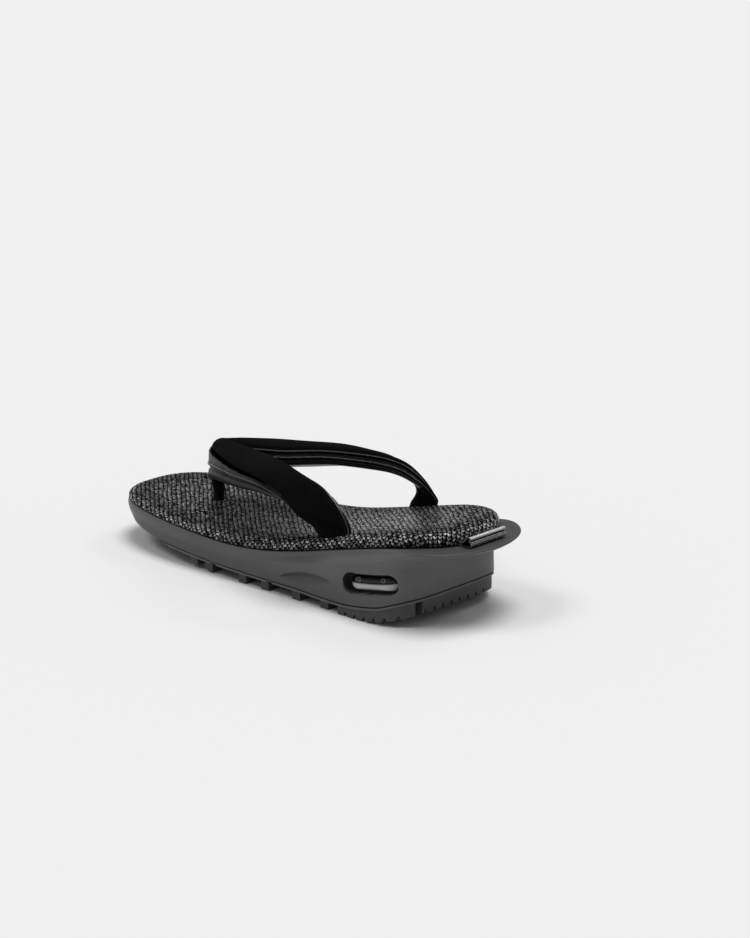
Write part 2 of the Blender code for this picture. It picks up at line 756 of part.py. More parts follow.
def main():
    clear_scene()
    foam = material("satin foam", (0.075, 0.077, 0.080), 0.55)
    rubber = material("dark rubber", (0.055, 0.056, 0.058), 0.62)
    weave = material("black woven cord", (0.022, 0.022, 0.023), 0.42)
    velvet = material("black velvet", (0.010, 0.010, 0.011), 0.92)
    cloth = material("black cloth", (0.008, 0.008, 0.008), 0.95)
    gloss = material("gloss black ribbon", (0.012, 0.012, 0.013), 0.16)
    film = material("smoky clear film", (0.32, 0.33, 0.34), 0.12)

    build_midsole(foam)
    build_air_unit(film)
    build_outsole(rubber)
    footbed = build_footbed(weave)
    build_heel_tab(gloss)
    build_strap("strap", velvet)
    pockets = strap_rings(SEAT_GAP)[-STRAP_POCKET_STEPS:]
    cut(footbed, on_both_sides(tube("strap_pockets", pockets, None, hidden=True)))
    cut(footbed, box(
        "tab_slot", (-TAB_REACH, -0.5 * TAB_WIDTH - SEAT_GAP, SHELF_HEIGHT),
        (TAB_TONGUE + SEAT_GAP, 0.5 * TAB_WIDTH + SEAT_GAP, SHELF_HEIGHT + 2 * TAB_THICKNESS + 3 * SEAT_GAP),
    ))
    build_toe_post(cloth, footbed)


main()
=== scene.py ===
"""Looks of a thong sandal: a woven footbed, a velvet and leather strap on a cloth post, a satin foam
sole with a window on its air unit, a grooved rubber outsole and a folded ribbon tab.
Metres, +X towards the toe, +Y to the outer side, +Z up; x below is the distance from the heel."""
import math
from functools import partialmethod

import bpy
import numpy as np
from mathutils import Matrix, Vector


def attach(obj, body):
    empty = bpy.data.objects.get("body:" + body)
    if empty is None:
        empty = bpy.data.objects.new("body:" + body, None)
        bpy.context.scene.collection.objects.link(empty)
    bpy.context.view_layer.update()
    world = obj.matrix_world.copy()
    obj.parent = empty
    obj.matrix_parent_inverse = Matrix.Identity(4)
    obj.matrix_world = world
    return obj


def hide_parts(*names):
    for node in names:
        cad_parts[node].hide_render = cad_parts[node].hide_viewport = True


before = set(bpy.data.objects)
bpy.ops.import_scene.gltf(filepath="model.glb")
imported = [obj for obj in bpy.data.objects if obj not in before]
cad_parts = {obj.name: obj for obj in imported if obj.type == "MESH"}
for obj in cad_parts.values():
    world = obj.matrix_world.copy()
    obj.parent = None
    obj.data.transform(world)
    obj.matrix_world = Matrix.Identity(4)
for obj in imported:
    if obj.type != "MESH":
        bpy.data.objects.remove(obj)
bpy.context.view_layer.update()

# Weave, ribbon and cloth: turn in degrees, lengths in mm, slant as a share of a stitch
WALE_TURN = 48.0
WALE_WIDTH = 2.7
STITCH_LENGTH = 2.4
STITCH_SLANT = 0.55
WALE_DRIFT = 2.4
RIB_PITCH = 0.42
THREAD_PITCH = 0.5

# Footbed
FOOTBED_LENGTH = 0.268
BALL_WIDTH = 0.092
HEEL_WIDTH = 0.082
HEEL_THICKNESS = 0.0088
TOE_THICKNESS = 0.0040
HEEL_ROUND_LENGTH = 0.0536
TOE_ROUND_LENGTH = 0.0911
HEEL_POWER = 2.54
TOE_POWER = 2.7
THINNING = (0.30, 0.78)
WIDENING = (0.20, 0.66)

# Sole
SHELF_HEIGHT = 0.047
SHELF_REACH = 0.0143
SHELF_ROUND_LENGTH = 0.0293
SHELF_HALF_WIDTH = 0.042
SHELF_EDGE = 0.0028
SHELF_POWER = 1.95
SHELF_BLEND = (0.06, 0.24)
SHELF_EDGE_GROWTH = (0.00, 0.20)
SHELF_EDGE_START = 0.35
CREST_REACH = 0.0105
CREST_ROUND_LENGTH = 0.0555
CREST_POWER = 2.0
SOLE_WIDTH = 0.092
SOLE_BACK = 0.0160
SOLE_CORNER_LENGTH = 0.045
SOLE_CORNER_POWER = 4.5
TOE_UNDERCUT = 0.0040
LIP = 0.0006
FLARE = 0.0005
SEAT_GAP = 0.0003
FOOT_ROUNDING = 0.0006
SEAT_INSET = 0.0014
TOE_START = FOOTBED_LENGTH - TOE_ROUND_LENGTH
MIDDLE_X = FOOTBED_LENGTH + LIP - 0.5 * (FOOTBED_LENGTH + LIP + SHELF_REACH)

# Outsole
PLATE_THICKNESS = 0.0022
PLATE_WEB = 0.0009
PLATE_FRONT = 0.209
FLEX_GAP_WIDTH = 0.0050
FLEX_GAP_SHARES = (0.446, 0.620)
HEEL_BLOCK_FRONT = 0.0655
HEEL_BLOCK_INSET = 0.0009
STUD_LENGTH = 0.0060
STUD_WIDTH = 0.0125
STUD_EDGE_INSET = 0.0022
STUD_SHARES = (0.288, 0.371, 0.466, 0.535, 0.640, 0.688)
MIDDLE_STUD_WIDTH = 0.026
NOTCH_WIDTH = 0.0042
NOTCH_SIDE = 0.0290
NOTCH_END = 0.046
GROOVE_PITCH = 0.0070
GROOVE_WIDTH = 0.0023
GROOVE_DEPTH = 0.0024
LUG_OVERLAP = 0.0002

# Window, air unit and scoop
WINDOW_LENGTH = 0.0370
WINDOW_HEIGHT = 0.0116
WINDOW_CORNER = 0.0049
WINDOW_FROM_HEEL = 0.0424
WINDOW_CENTRE_HEIGHT = 0.0226
WINDOW_SLOPE = 9.0
WINDOW_DEPTH = 0.0052
WINDOW_RIM_DEPTH = 0.00035
WINDOW_RIM_WIDTH = 0.0009
AIR_UNIT_LENGTH = 0.0325
AIR_UNIT_HEIGHT = 0.0086
AIR_UNIT_CORNER = 0.0038
AIR_UNIT_RECESS = 0.0028
AIR_UNIT_BULGE = 0.0009
SCOOP_FROM_HEEL = 0.0905
SCOOP_CENTRE_HEIGHT = 0.0150
SCOOP_LENGTH = 0.042
SCOOP_HEIGHT = 0.0085
SCOOP_DEPTH = 0.0026
SCOOP_SLOPE = 8.0

# Heel tab
TAB_WIDTH = 0.0300
TAB_THICKNESS = 0.0009
TAB_REACH = 0.0068
TAB_HEIGHT = 0.0062
TAB_TONGUE = 0.0070
TAB_CREST = SHELF_HEIGHT + SEAT_GAP + 0.925 * TAB_HEIGHT + 0.5 * TAB_THICKNESS

# Strap and toe post
STRAP_THICKNESS = 0.0105
STRAP_RISE = 0.0410
STRAP_FOOT_FROM_HEEL = 0.0755
STRAP_FOOT_HALF_SPREAD = 0.0380
STRAP_POCKET_DEPTH = 0.0030
NOSE_OVERLAP = 0.0030
NOSE_TUCK = 0.75
POST_FROM_HEEL = 0.2082
POST_LENGTH = 0.0072
POST_WIDTH = 0.0080
POST_FLARE_WIDTH = 0.0100
POST_POCKET_DEPTH = 0.0020
POST_FOOT_SHARE = 0.74

# Points along half of the wall's foot, the plate and the footbed, rows up the wall, sections along the
# strap and the tab, rows up the post
WALL_STEPS = 500
PLATE_STEPS = 420
FOOTBED_STEPS = 330
WALL_ROWS = 66
STRAP_SECTIONS = 171
TAB_SECTIONS = 150
POST_ROWS = 60

# Photograph's camera
CAMERA_TURN = 44.59
CAMERA_RISE = 17.83
CAMERA_DISTANCE = 1.55746
CAMERA_AIM = (0.134, 0.0, 0.020)
CAMERA_YAW = -1.56
CAMERA_PITCH = -1.46
CAMERA_LENS = 101.46

# Columns: share of the footbed's length, then the heights of the footbed seat, the crest of the side
# and the top of the wall, as shares of the shelf's height.
SOLE_LINES = np.array((
    (-0.060, 1.000, 0.926, 0.812),
    (0.000, 1.000, 0.918, 0.812),
    (0.050, 0.996, 0.884, 0.806),
    (0.100, 0.962, 0.818, 0.766),
    (0.150, 0.912, 0.757, 0.700),
    (0.200, 0.846, 0.686, 0.632),
    (0.250, 0.776, 0.625, 0.573),
    (0.300, 0.705, 0.566, 0.516),
    (0.350, 0.636, 0.510, 0.462),
    (0.400, 0.574, 0.459, 0.412),
    (0.450, 0.521, 0.412, 0.367),
    (0.500, 0.485, 0.376, 0.331),
    (0.550, 0.466, 0.350, 0.305),
    (0.600, 0.462, 0.340, 0.294),
    (0.700, 0.486, 0.356, 0.309),
    (0.800, 0.521, 0.392, 0.344),
    (0.900, 0.543, 0.428, 0.385),
    (1.000, 0.549, 0.452, 0.412),
))
# Columns: share of the footbed's length, outsole's upper line, ground contact, as shares of the shelf's
# height.
OUTSOLE_LINES = np.array((
    (0.055, 0.355, 0.158),
    (0.075, 0.330, 0.124),
    (0.100, 0.285, 0.085),
    (0.130, 0.228, 0.046),
    (0.175, 0.181, 0.008),
    (0.210, 0.155, 0.000),
    (0.240, 0.145, 0.000),
    (0.300, 0.148, 0.000),
    (0.360, 0.160, 0.000),
    (0.450, 0.160, 0.000),
    (0.540, 0.162, 0.000),
    (0.600, 0.167, 0.012),
    (0.650, 0.180, 0.030),
    (0.720, 0.204, 0.074),
    (0.780, 0.230, 0.120),
    (0.850, 0.262, 0.170),
    (0.930, 0.305, 0.215),
    (1.000, 0.370, 0.300),
))
# Rounding of the wall's top, the crest, the shelf and the rim. Columns: share of both sides that it
# takes, steps round it.
SOLE_ROUNDING = ((0.14, 7), (0.42, 9), (0.28, 6), (0.35, 5))
# The plate's edge. Columns: inset from the wall's foot, share of the plate's thickness.
PLATE_SECTION = (
    (0.0026, 0.00),
    (0.0015, 0.10),
    (0.0003, 0.26),
    (0.0002, 0.30),
    (0.0002, 0.84),
    (0.0008, 0.90),
    (0.0018, 1.00),
)
# Columns: inset from the outline as a share of the heel thickness, rise as a share of the thickness.
FOOTBED_SECTION = np.array((
    (0.160, 0.00),
    (0.020, 0.14),
    (0.000, 0.40),
    (0.070, 0.66),
    (0.250, 0.87),
    (0.560, 0.98),
    (1.100, 0.99),
    (2.200, 0.90),
))
# Columns: run back from the post, spread and height over the footbed, each as a share.
STRAP_UPPER_EDGE = np.array((
    (0.034, -0.030, 0.955),
    (0.052, -0.030, 0.960),
    (0.146, -0.008, 0.966),
    (0.332, 0.145, 0.993),
    (0.556, 0.474, 1.000),
    (0.772, 0.776, 0.854),
    (0.914, 0.908, 0.664),
    (1.015, 0.974, 0.378),
    (1.079, 1.008, 0.095),
    (1.082, 0.995, 0.000),
))
STRAP_LOWER_EDGE = np.array((
    (-0.027, 0.021, 0.735),
    (-0.015, 0.150, 0.775),
    (0.071, 0.408, 0.876),
    (0.272, 0.737, 0.946),
    (0.526, 1.040, 0.924),
    (0.709, 1.210, 0.746),
    (0.802, 1.290, 0.561),
    (0.877, 1.329, 0.359),
    (0.925, 1.215, 0.175),
    (0.918, 1.026, 0.000),
))
# Columns: share from nose to foot, depth under the upper and the lower edge as shares of the
# thickness, shares by which the depth hangs straight down and points at the middle.
STRAP_DEPTHS = np.array((
    (0.00, 1.30, 1.90, 1.00, 0.00),
    (0.11, 1.30, 1.88, 1.00, 0.00),
    (0.22, 1.20, 1.78, 0.95, 0.00),
    (0.33, 1.05, 1.60, 0.80, 0.00),
    (0.44, 1.00, 1.22, 0.45, 0.00),
    (0.56, 1.00, 0.78, 0.10, 0.00),
    (0.67, 0.90, 0.48, 0.00, 0.05),
    (0.78, 0.66, 0.43, 0.00, 0.40),
    (0.89, 0.44, 0.45, 0.00, 0.80),
    (1.00, 0.36, 0.46, 0.00, 1.00),
))
# Columns: way across from the upper to the lower edge, depth as a share of the depth there.
STRAP_SECTION = np.array((
    (0.000, 0.42),
    (0.012, 0.16),
    (0.060, 0.00),
    (0.200, -0.09),
    (0.420, -0.14),
    (0.660, -0.13),
    (0.860, -0.06),
    (0.970, 0.08),
    (1.000, 0.30),
    (1.000, 0.60),
    (0.965, 0.88),
    (0.860, 1.00),
    (0.550, 1.00),
    (0.250, 1.00),
    (0.060, 0.93),
    (0.000, 0.72),
))
# Where the velvet stops on the outer side. Columns: share from nose to foot, row of the section.
GROOVE_LINE = np.array((
    (0.00, 5.10),
    (0.12, 5.90),
    (0.25, 6.85),
    (0.40, 7.55),
    (0.60, 7.80),
    (1.00, 7.80),
))
# The groove there and the lips beside it. Columns: rows from the groove, width in rows, rise in mm.
GROOVE_PROFILE = (
    (0.00, 0.30, -1.70),
    (-0.62, 0.40, 0.45),
    (0.55, 0.30, 0.30),
)
# Shares between which the groove fades out, and the shares up to which the painted shade in the groove
# and the velvet's edge follow it. Past VELVET_END the velvet lies between VELVET_ROWS.
GROOVE_FADE = (0.44, 0.66)
SHADED_GROOVE_END = 0.50
VELVET_END = 0.60
VELVET_ROWS = (0.98, 8.2)
# Rows of velvet on the inside of the strap's foot, and the share from which they have it.
FOOT_VELVET_ROWS = (11, 15)
FOOT_VELVET_START = 0.80
# Soft ridges and troughs along the strap. Columns: row of the section, width in rows, rise in mm,
# shares between which it fades out towards the foot.
STRAP_SEAMS = (
    (0.75, 0.19, 0.75, 1.10, 1.20),
    (0.38, 0.18, -0.95, 1.10, 1.20),
    (15.55, 0.17, 0.85, 1.10, 1.20),
    (15.22, 0.13, -0.55, 1.10, 1.20),
    (15.90, 0.13, -0.50, 1.10, 1.20),
    (8.56, 0.20, 0.70, 0.58, 0.74),
    (8.90, 0.20, -1.00, 0.58, 0.74),
    (9.90, 0.70, 0.80, 0.50, 0.70),
    (14.60, 0.14, -0.45, 1.10, 1.20),
)
# Rows of the strap's section that glossy piping runs along, and its half width in rows.
PIPED_ROWS = ((0.75, 0.14), (15.55, 0.16), (8.56, 0.12))
# Rows of the shaded seams beside the piping, and their half widths.
SEAM_ROWS = ((0.38, 0.12), (15.22, 0.10))
# Creases across the strap. Columns: share, row, slant in shares a row, width in shares, width in rows,
# rise in mm.
STRAP_CREASES = (
    (0.050, 7.6, 0.010, 0.008, 1.4, -0.35),
    (0.085, 8.2, -0.008, 0.007, 1.0, -0.30),
    (0.150, 8.4, 0.012, 0.009, 0.9, -0.28),
    (0.240, 8.3, -0.010, 0.010, 0.8, -0.25),
    (0.330, 8.6, 0.009, 0.010, 0.8, -0.22),
    (0.120, 15.6, 0.014, 0.010, 1.2, -0.30),
    (0.210, 15.4, -0.012, 0.009, 1.0, -0.28),
    (0.560, 15.3, 0.012, 0.012, 1.1, -0.30),
    (0.700, 15.5, -0.010, 0.012, 1.1, -0.28),
    (0.070, 3.6, 0.018, 0.014, 1.6, -0.40),
    (0.035, 4.6, -0.012, 0.012, 1.2, 0.35),
    (0.620, 4.2, 0.008, 0.030, 2.2, -0.30),
    (0.880, 5.0, 0.006, 0.020, 2.2, -0.35),
)
# Columns: reach behind the footbed and height over the shelf, as shares of the tab's.
TAB_FOLD = np.array((
    (0.840, 0.120),
    (0.940, 0.180),
    (0.985, 0.300),
    (0.970, 0.480),
    (0.800, 0.600),
    (0.790, 0.690),
    (0.940, 0.800),
    (0.880, 0.905),
    (0.770, 0.925),
    (0.640, 0.860),
    (0.350, 0.560),
    (0.120, 0.345),
    (0.000, 0.315),
))
# Moulded ring marks on the air unit. Columns: place along the window and up it from its middle,
# radius, all in mm.
RING_MARKS = ((8.6, 2.1, 1.15), (-9.0, 2.2, 1.15))
# Lamps, strength of the white world, and the floor's colour. Columns: name, where it stands, energy, spread
# in degrees.
LAMPS = (
    ("overhead_softbox", (-0.13, -0.07, 1.0), 1.88, 30),
    ("back_softbox", (-0.10, -0.68, 0.70), 0.26, 18),
    ("front_softbox", (0.30, 0.50, 0.82), 0.70, 22),
)
WORLD_STRENGTH = 0.26
FLOOR_COLOUR = (0.80, 0.80, 0.797)


# Curves and lines of the sandal

def along(table, share, column):
    """Smooth curve through one column of a table: cubic pieces, each row's slope being that of the
    chord between its neighbours, held flat beyond both ends."""
    keys, values = table[:, 0], table[:, column]
    low = np.maximum(np.arange(len(keys)) - 1, 0)
    high = np.minimum(np.arange(len(keys)) + 1, len(keys) - 1)
    slopes = (values[high] - values[low]) / (keys[high] - keys[low])
    place = np.clip(share, keys[0], keys[-1])
    i = np.clip(np.searchsorted(keys, place, side="right") - 1, 0, len(keys) - 2)
    span = keys[i + 1] - keys[i]
    t = (place - keys[i]) / span
    return (
        values[i] * (2 * t**3 - 3 * t**2 + 1) + slopes[i] * span * (t**3 - 2 * t**2 + t)
        + values[i + 1] * (3 * t**2 - 2 * t**3) + slopes[i + 1] * span * (t**3 - t**2)
    )


def smooth(low, high, x):
    """Rise from 0 to 1 between two values, 3t^2 - 2t^3."""
    t = np.clip((x - low) / (high - low), 0.0, 1.0)
    return t * t * (3 - 2 * t)


def ease(span, x):
    """Rise from 0 to 1 between two shares of the footbed's length, half a cosine wave."""
    t = np.clip((x / FOOTBED_LENGTH - span[0]) / (span[1] - span[0]), 0.0, 1.0)
    return 0.5 - 0.5 * np.cos(np.pi * t)


def sole_line(table, column):
    """Height of one of the sole's lines as a function of the place along it."""
    return lambda x: SHELF_HEIGHT * along(table, x / FOOTBED_LENGTH, column)


seat_height = sole_line(SOLE_LINES, 1)
crest_height = sole_line(SOLE_LINES, 2)
wall_top_height = sole_line(SOLE_LINES, 3)
outsole_height = sole_line(OUTSOLE_LINES, 1)


def ground_height(x):
    return SHELF_HEIGHT * np.maximum(0.0, along(OUTSOLE_LINES, x / FOOTBED_LENGTH, 2))


def footbed_thickness(x):
    return HEEL_THICKNESS + (TOE_THICKNESS - HEEL_THICKNESS) * ease(THINNING, x)


def footbed_top(x):
    return seat_height(x) + footbed_thickness(x)


def footbed_half_width(x):
    return 0.5 * (HEEL_WIDTH + (BALL_WIDTH - HEEL_WIDTH) * ease(WIDENING, x))


def shelf_half_width(x):
    return SHELF_HALF_WIDTH + (footbed_half_width(x) + LIP - SHELF_HALF_WIDTH) * ease(SHELF_BLEND, x)


def sole_half_width(x):
    return 0.5 * SOLE_WIDTH + 0 * x


def shelf_edge(x):
    return SHELF_EDGE * (SHELF_EDGE_START + (1 - SHELF_EDGE_START) * ease(SHELF_EDGE_GROWTH, x))


def outline(back, heel_length, heel_power, tip, half_width):
    """Half outline as a function of places from 0 to 3: a superellipse heel up to 1, a plain middle up
    to 2, a superellipse toe up to 3. Heel: x = back + length (1 - cos^(2/p)), y = half width sin^(2/p).
    Toe: x = start + (tip - start) sin^(2/p), y = half width cos^(2/p)."""
    def points(way):
        heel = 0.5 * np.pi * (1 - (1 - np.clip(way, 0, 1)) ** 1.5)
        toe = 0.5 * np.pi * np.clip(way - 2, 0, 1) ** 1.25
        share = np.clip(way - 1, 0, 1)
        x = np.where(
            way < 1, back + heel_length * (1 - np.maximum(np.cos(heel), 0) ** (2 / heel_power)),
            back + heel_length + (TOE_START - back - heel_length) * share
            + (tip - TOE_START) * np.sin(toe) ** (2 / TOE_POWER),
        )
        round_off = np.sin(heel) ** (2 / heel_power) * np.maximum(np.cos(toe), 0) ** (2 / TOE_POWER)
        y = half_width(x) * round_off
        y[(way <= 0) | (way >= 3)] = 0.0
        return np.stack([x, y], -1)

    return points


footbed_outline = outline(0.0, HEEL_ROUND_LENGTH, HEEL_POWER, FOOTBED_LENGTH, footbed_half_width)
shelf_outline = outline(
    -SHELF_REACH, SHELF_ROUND_LENGTH, SHELF_POWER, FOOTBED_LENGTH + LIP, shelf_half_width,
)
crest_outline = outline(
    -CREST_REACH, CREST_ROUND_LENGTH, CREST_POWER, FOOTBED_LENGTH + LIP, sole_half_width,
)
wall_top_outline = outline(
    SOLE_BACK + FLARE, SOLE_CORNER_LENGTH, SOLE_CORNER_POWER, FOOTBED_LENGTH,
    lambda x: sole_half_width(x) - FLARE,
)
wall_foot_outline = outline(
    SOLE_BACK, SOLE_CORNER_LENGTH, SOLE_CORNER_POWER, FOOTBED_LENGTH - TOE_UNDERCUT, sole_half_width,
)


def spaced(outline_at, count, weight=None):
    """Places along an outline whose steps have equal length, or equal weighted length."""
    way = np.linspace(0, 3, 6001)
    points = outline_at(way)
    steps = np.hypot(*np.diff(points, axis=0).T)
    if weight:
        steps = steps * weight(0.5 * (points[1:, 0] + points[:-1, 0]))
    total = np.concatenate([[0], np.cumsum(steps)])
    return np.interp(np.linspace(0, total[-1], count), total, way)


def around(half):
    """Closed ring from a half outline, by mirroring it across the middle line."""
    return np.concatenate([half, half[-2:0:-1] * (1, -1)])


def outward(ring):
    """Unit normals of a closed ring in plan."""
    run = np.roll(ring, -1, 0) - np.roll(ring, 1, 0)
    normal = np.stack([-run[:, 1], run[:, 0]], -1)
    return normal / np.maximum(np.linalg.norm(normal, axis=1, keepdims=True), 1e-12)


# Meshes

def cap_faces(first, count):
    """Strips across the middle line that close a mirrored ring."""
    half = count // 2
    i = np.arange(1, half - 1)
    strips = np.stack([i, i + 1, count - i - 1, count - i], -1) + first
    tips = [(first, first + 1, first + count - 1), (first + half - 1, first + half, first + half + 1)]
    return strips.tolist() + tips


def shell(rings, flat_ends=False):
    """Points and faces: quads between rows of equal closed rings, and both ends closed by strips, or by
    one flat face each."""
    rows, count = rings.shape[:2]
    i = np.arange(rows - 1)[:, None] * count
    j = np.arange(count)[None, :]
    k = (j + 1) % count
    faces = np.stack([i + j, i + k, i + count + k, i + count + j], -1).reshape(-1, 4).tolist()
    last = (rows - 1) * count
    if flat_ends:
        caps = [tuple(range(count))], [tuple(range(last, last + count))]
    else:
        caps = cap_faces(0, count), cap_faces(last, count)
    return rings.reshape(-1, 3), faces + [face[::-1] for face in caps[0]] + caps[1]


def circle(count):
    """Even turns round a circle."""
    return np.linspace(0, 2 * np.pi, count, endpoint=False)


def placed(name, data):
    """Object of a mesh, a lamp or a camera, in the scene."""
    made = bpy.data.objects.new(name, data)
    bpy.context.scene.collection.objects.link(made)
    return made


def joined(parts):
    """One set of points and faces from several."""
    points, faces, first = [], [], 0
    for some, more in parts:
        points.append(some)
        faces += [tuple(i + first for i in face) for face in more]
        first += len(some)
    return np.concatenate(points), faces


def turned_out(points, faces):
    """Faces turned so that the shell's signed volume is positive."""
    first, second, third = points[np.array([face[:3] for face in faces]).T]
    volume = (first * np.cross(second, third)).sum()
    return faces if volume > 0 else [face[::-1] for face in faces]


def piece(name, points, faces, looks, node, plan=None, kinds=None, sharp=40.0):
    """Object at the origin from points and faces, standing for a CAD node. plan is a flat place in mm
    for each point, kinds the number of each face's look."""
    mesh = bpy.data.meshes.new(name)
    mesh.from_pydata((points - (MIDDLE_X, 0, 0)).tolist(), [], turned_out(points, faces))
    for look in looks:
        mesh.materials.append(look.material)
    if kinds is not None:
        mesh.polygons.foreach_set("material_index", kinds.astype(np.int32))
    if plan is not None:
        corners = np.empty(len(mesh.loops), np.int32)
        mesh.loops.foreach_get("vertex_index", corners)
        layer = mesh.uv_layers.new(name="plan")
        layer.data.foreach_set("uv", plan[corners].astype(np.float32).ravel())
    mesh.shade_smooth()
    mesh.set_sharp_from_angle(angle=math.radians(sharp))
    mesh.update()
    made = placed(name, mesh)
    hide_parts(node)
    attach(made, "root")
    return made


# Materials

def grey(tone, blue=None):
    """Grey, with a blue value of its own where one is given."""
    return tone, tone, tone if blue is None else blue


class Look:
    """A procedural material: each method adds one node and returns its output."""

    def __init__(self, name, colour, roughness, **sockets):
        self.material = bpy.data.materials.new(name)
        self.material.use_nodes = True
        self.tree = self.material.node_tree
        self.shader = self.tree.nodes["Principled BSDF"]
        self.shader.inputs["Base Color"].default_value = (*colour, 1.0)
        self.shader.inputs["Roughness"].default_value = roughness
        for name, value in sockets.items():
            self.shader.inputs[name.replace("_", " ")].default_value = value

    def node(self, kind, inputs=(), **settings):
        made = self.tree.nodes.new(kind)
        for name, value in settings.items():
            setattr(made, name, value)
        for name, value in dict(inputs).items():
            self.put(made.inputs[name], value)
        return made

    def put(self, socket, value):
        if isinstance(value, bpy.types.NodeSocket):
            self.tree.links.new(value, socket)
        else:
            socket.default_value = value

    def set(self, name, value):
        self.put(self.shader.inputs[name], value)

    def place(self):
        return self.node("ShaderNodeTexCoord").outputs["Object"]

    def plan(self):
        return self.node("ShaderNodeUVMap", uv_map="plan").outputs[0]

    def calc(self, operation, *values):
        made = self.node("ShaderNodeMath", operation=operation)
        for socket, value in zip(made.inputs, values):
            self.put(socket, value)
        return made.outputs[0]

    times = partialmethod(calc, "MULTIPLY")
    plus = partialmethod(calc, "ADD")
    scaled = partialmethod(calc, "MULTIPLY_ADD")

    def wave(self, value, length):
        return self.calc("SINE", self.times(value, 2 * math.pi / length))

    def parts(self, vector):
        return self.node("ShaderNodeSeparateXYZ", {"Vector": vector}).outputs

    def vector(self, x, y, z=0.0):
        return self.node("ShaderNodeCombineXYZ", {"X": x, "Y": y, "Z": z}).outputs[0]

    def noise(self, vector, scale, detail=3.0, rough=0.55):
        made = self.node("ShaderNodeTexNoise", {
            "Vector": vector, "Scale": scale, "Detail": detail, "Roughness": rough,
        })
        return made.outputs["Fac"]

    def cells(self, vector, scale):
        return self.node("ShaderNodeTexVoronoi", {"Vector": vector, "Scale": scale}).outputs["Distance"]

    def random(self, vector):
        made = self.node("ShaderNodeTexWhiteNoise", {"Vector": vector}, noise_dimensions="3D")
        return made.outputs["Value"]

    def ranged(self, value, low, high, new_low=0.0, new_high=1.0):
        made = self.node("ShaderNodeMapRange", {
            "Value": value, "From Min": low, "From Max": high, "To Min": new_low, "To Max": new_high,
        })
        return made.outputs["Result"]

    def tinted(self, factor, low, high):
        """Colour between two colours."""
        made = self.node("ShaderNodeMix", data_type="RGBA")
        self.put(made.inputs["Factor"], factor)
        for place, value in ((6, low), (7, high)):
            self.put(made.inputs[place], (*value, 1.0) if isinstance(value, tuple) else value)
        return made.outputs[2]

    def colour(self, factor, low, high):
        self.set("Base Color", self.tinted(factor, low, high))

    def rough(self, value, new_low, new_high, low=0.3, high=0.7):
        self.set("Roughness", self.ranged(value, low, high, new_low, new_high))

    def bump(self, height, distance, strength=1.0, normal=None):
        made = self.node("ShaderNodeBump", {"Height": height, "Distance": distance, "Strength": strength})
        if normal is not None:
            self.put(made.inputs["Normal"], normal)
        self.set("Normal", made.outputs[0])
        return made.outputs[0]


def foam_look():
    """Moulded foam: fine satin grain, faint cloudy tone, paler scuffs low on the wall, and painted shade
    that darkens the lower wall and the shelf's top.
    """
    look = Look("satin_foam", (0.060, 0.061, 0.063), 0.46, Specular_IOR_Level=0.3)
    place = look.place()
    cloud = look.noise(place, 28.0, 3.0)
    scuff = look.ranged(look.noise(place, 140.0, 6.0, 0.7), 0.60, 0.76)
    height = look.parts(place)["Z"]
    low = look.ranged(height, 0.018, 0.004)
    light = look.tinted(cloud, (0.092, 0.093, 0.094), (0.111, 0.112, 0.113))
    # Painted shade: darker low on the wall, below 8 mm, reaching the cloudy tone above 24 mm.
    tone = look.tinted(look.ranged(height, 0.008, 0.024), (0.062, 0.063, 0.064), light)
    # Painted shade on the shelf's top, under the footbed's overhang.
    tone = look.tinted(look.ranged(height, SHELF_HEIGHT - 0.002, SHELF_HEIGHT), tone, (0.060, 0.061, 0.062))
    look.colour(look.times(scuff, look.scaled(low, 0.35, 0.08)), tone, grey(0.11, 0.112))
    look.rough(look.noise(place, 90.0, 4.0), 0.40, 0.52)
    grain = look.noise(place, 2600.0, 2.0)
    look.bump(grain, 0.00005, 0.5, look.bump(cloud, 0.0004, 0.25))
    return look


def pocket_shade_look():
    """Foam inside the window, painted darker than the wall as shade in the recess, and duller."""
    look = Look("pocket_foam_painted_shade", grey(0.016, 0.0165), 0.60, Specular_IOR_Level=0.2)
    cloud = look.noise(look.place(), 400.0, 3.0)
    look.colour(cloud, grey(0.010, 0.0103), grey(0.022, 0.0225))
    look.bump(cloud, 0.0001, 0.4)
    return look


def rubber_look(name, tone):
    """Outsole rubber: matt grain, dull abrasion and dust on the edges near the floor."""
    look = Look(name, grey(tone), 0.55, Specular_IOR_Level=0.4)
    place = look.place()
    dust = look.ranged(look.noise(place, 220.0, 6.0, 0.65), 0.52, 0.80)
    near_floor = look.ranged(look.parts(place)["Z"], 0.010, 0.0)
    amount = look.times(dust, look.scaled(near_floor, 0.5, 0.10))
    look.colour(amount, grey(tone), (tone + 0.055, tone + 0.054, tone + 0.052))
    look.rough(look.noise(place, 130.0, 4.0), 0.48, 0.64)
    look.bump(look.noise(place, 1500.0, 3.0), 0.00012, 0.5)
    return look


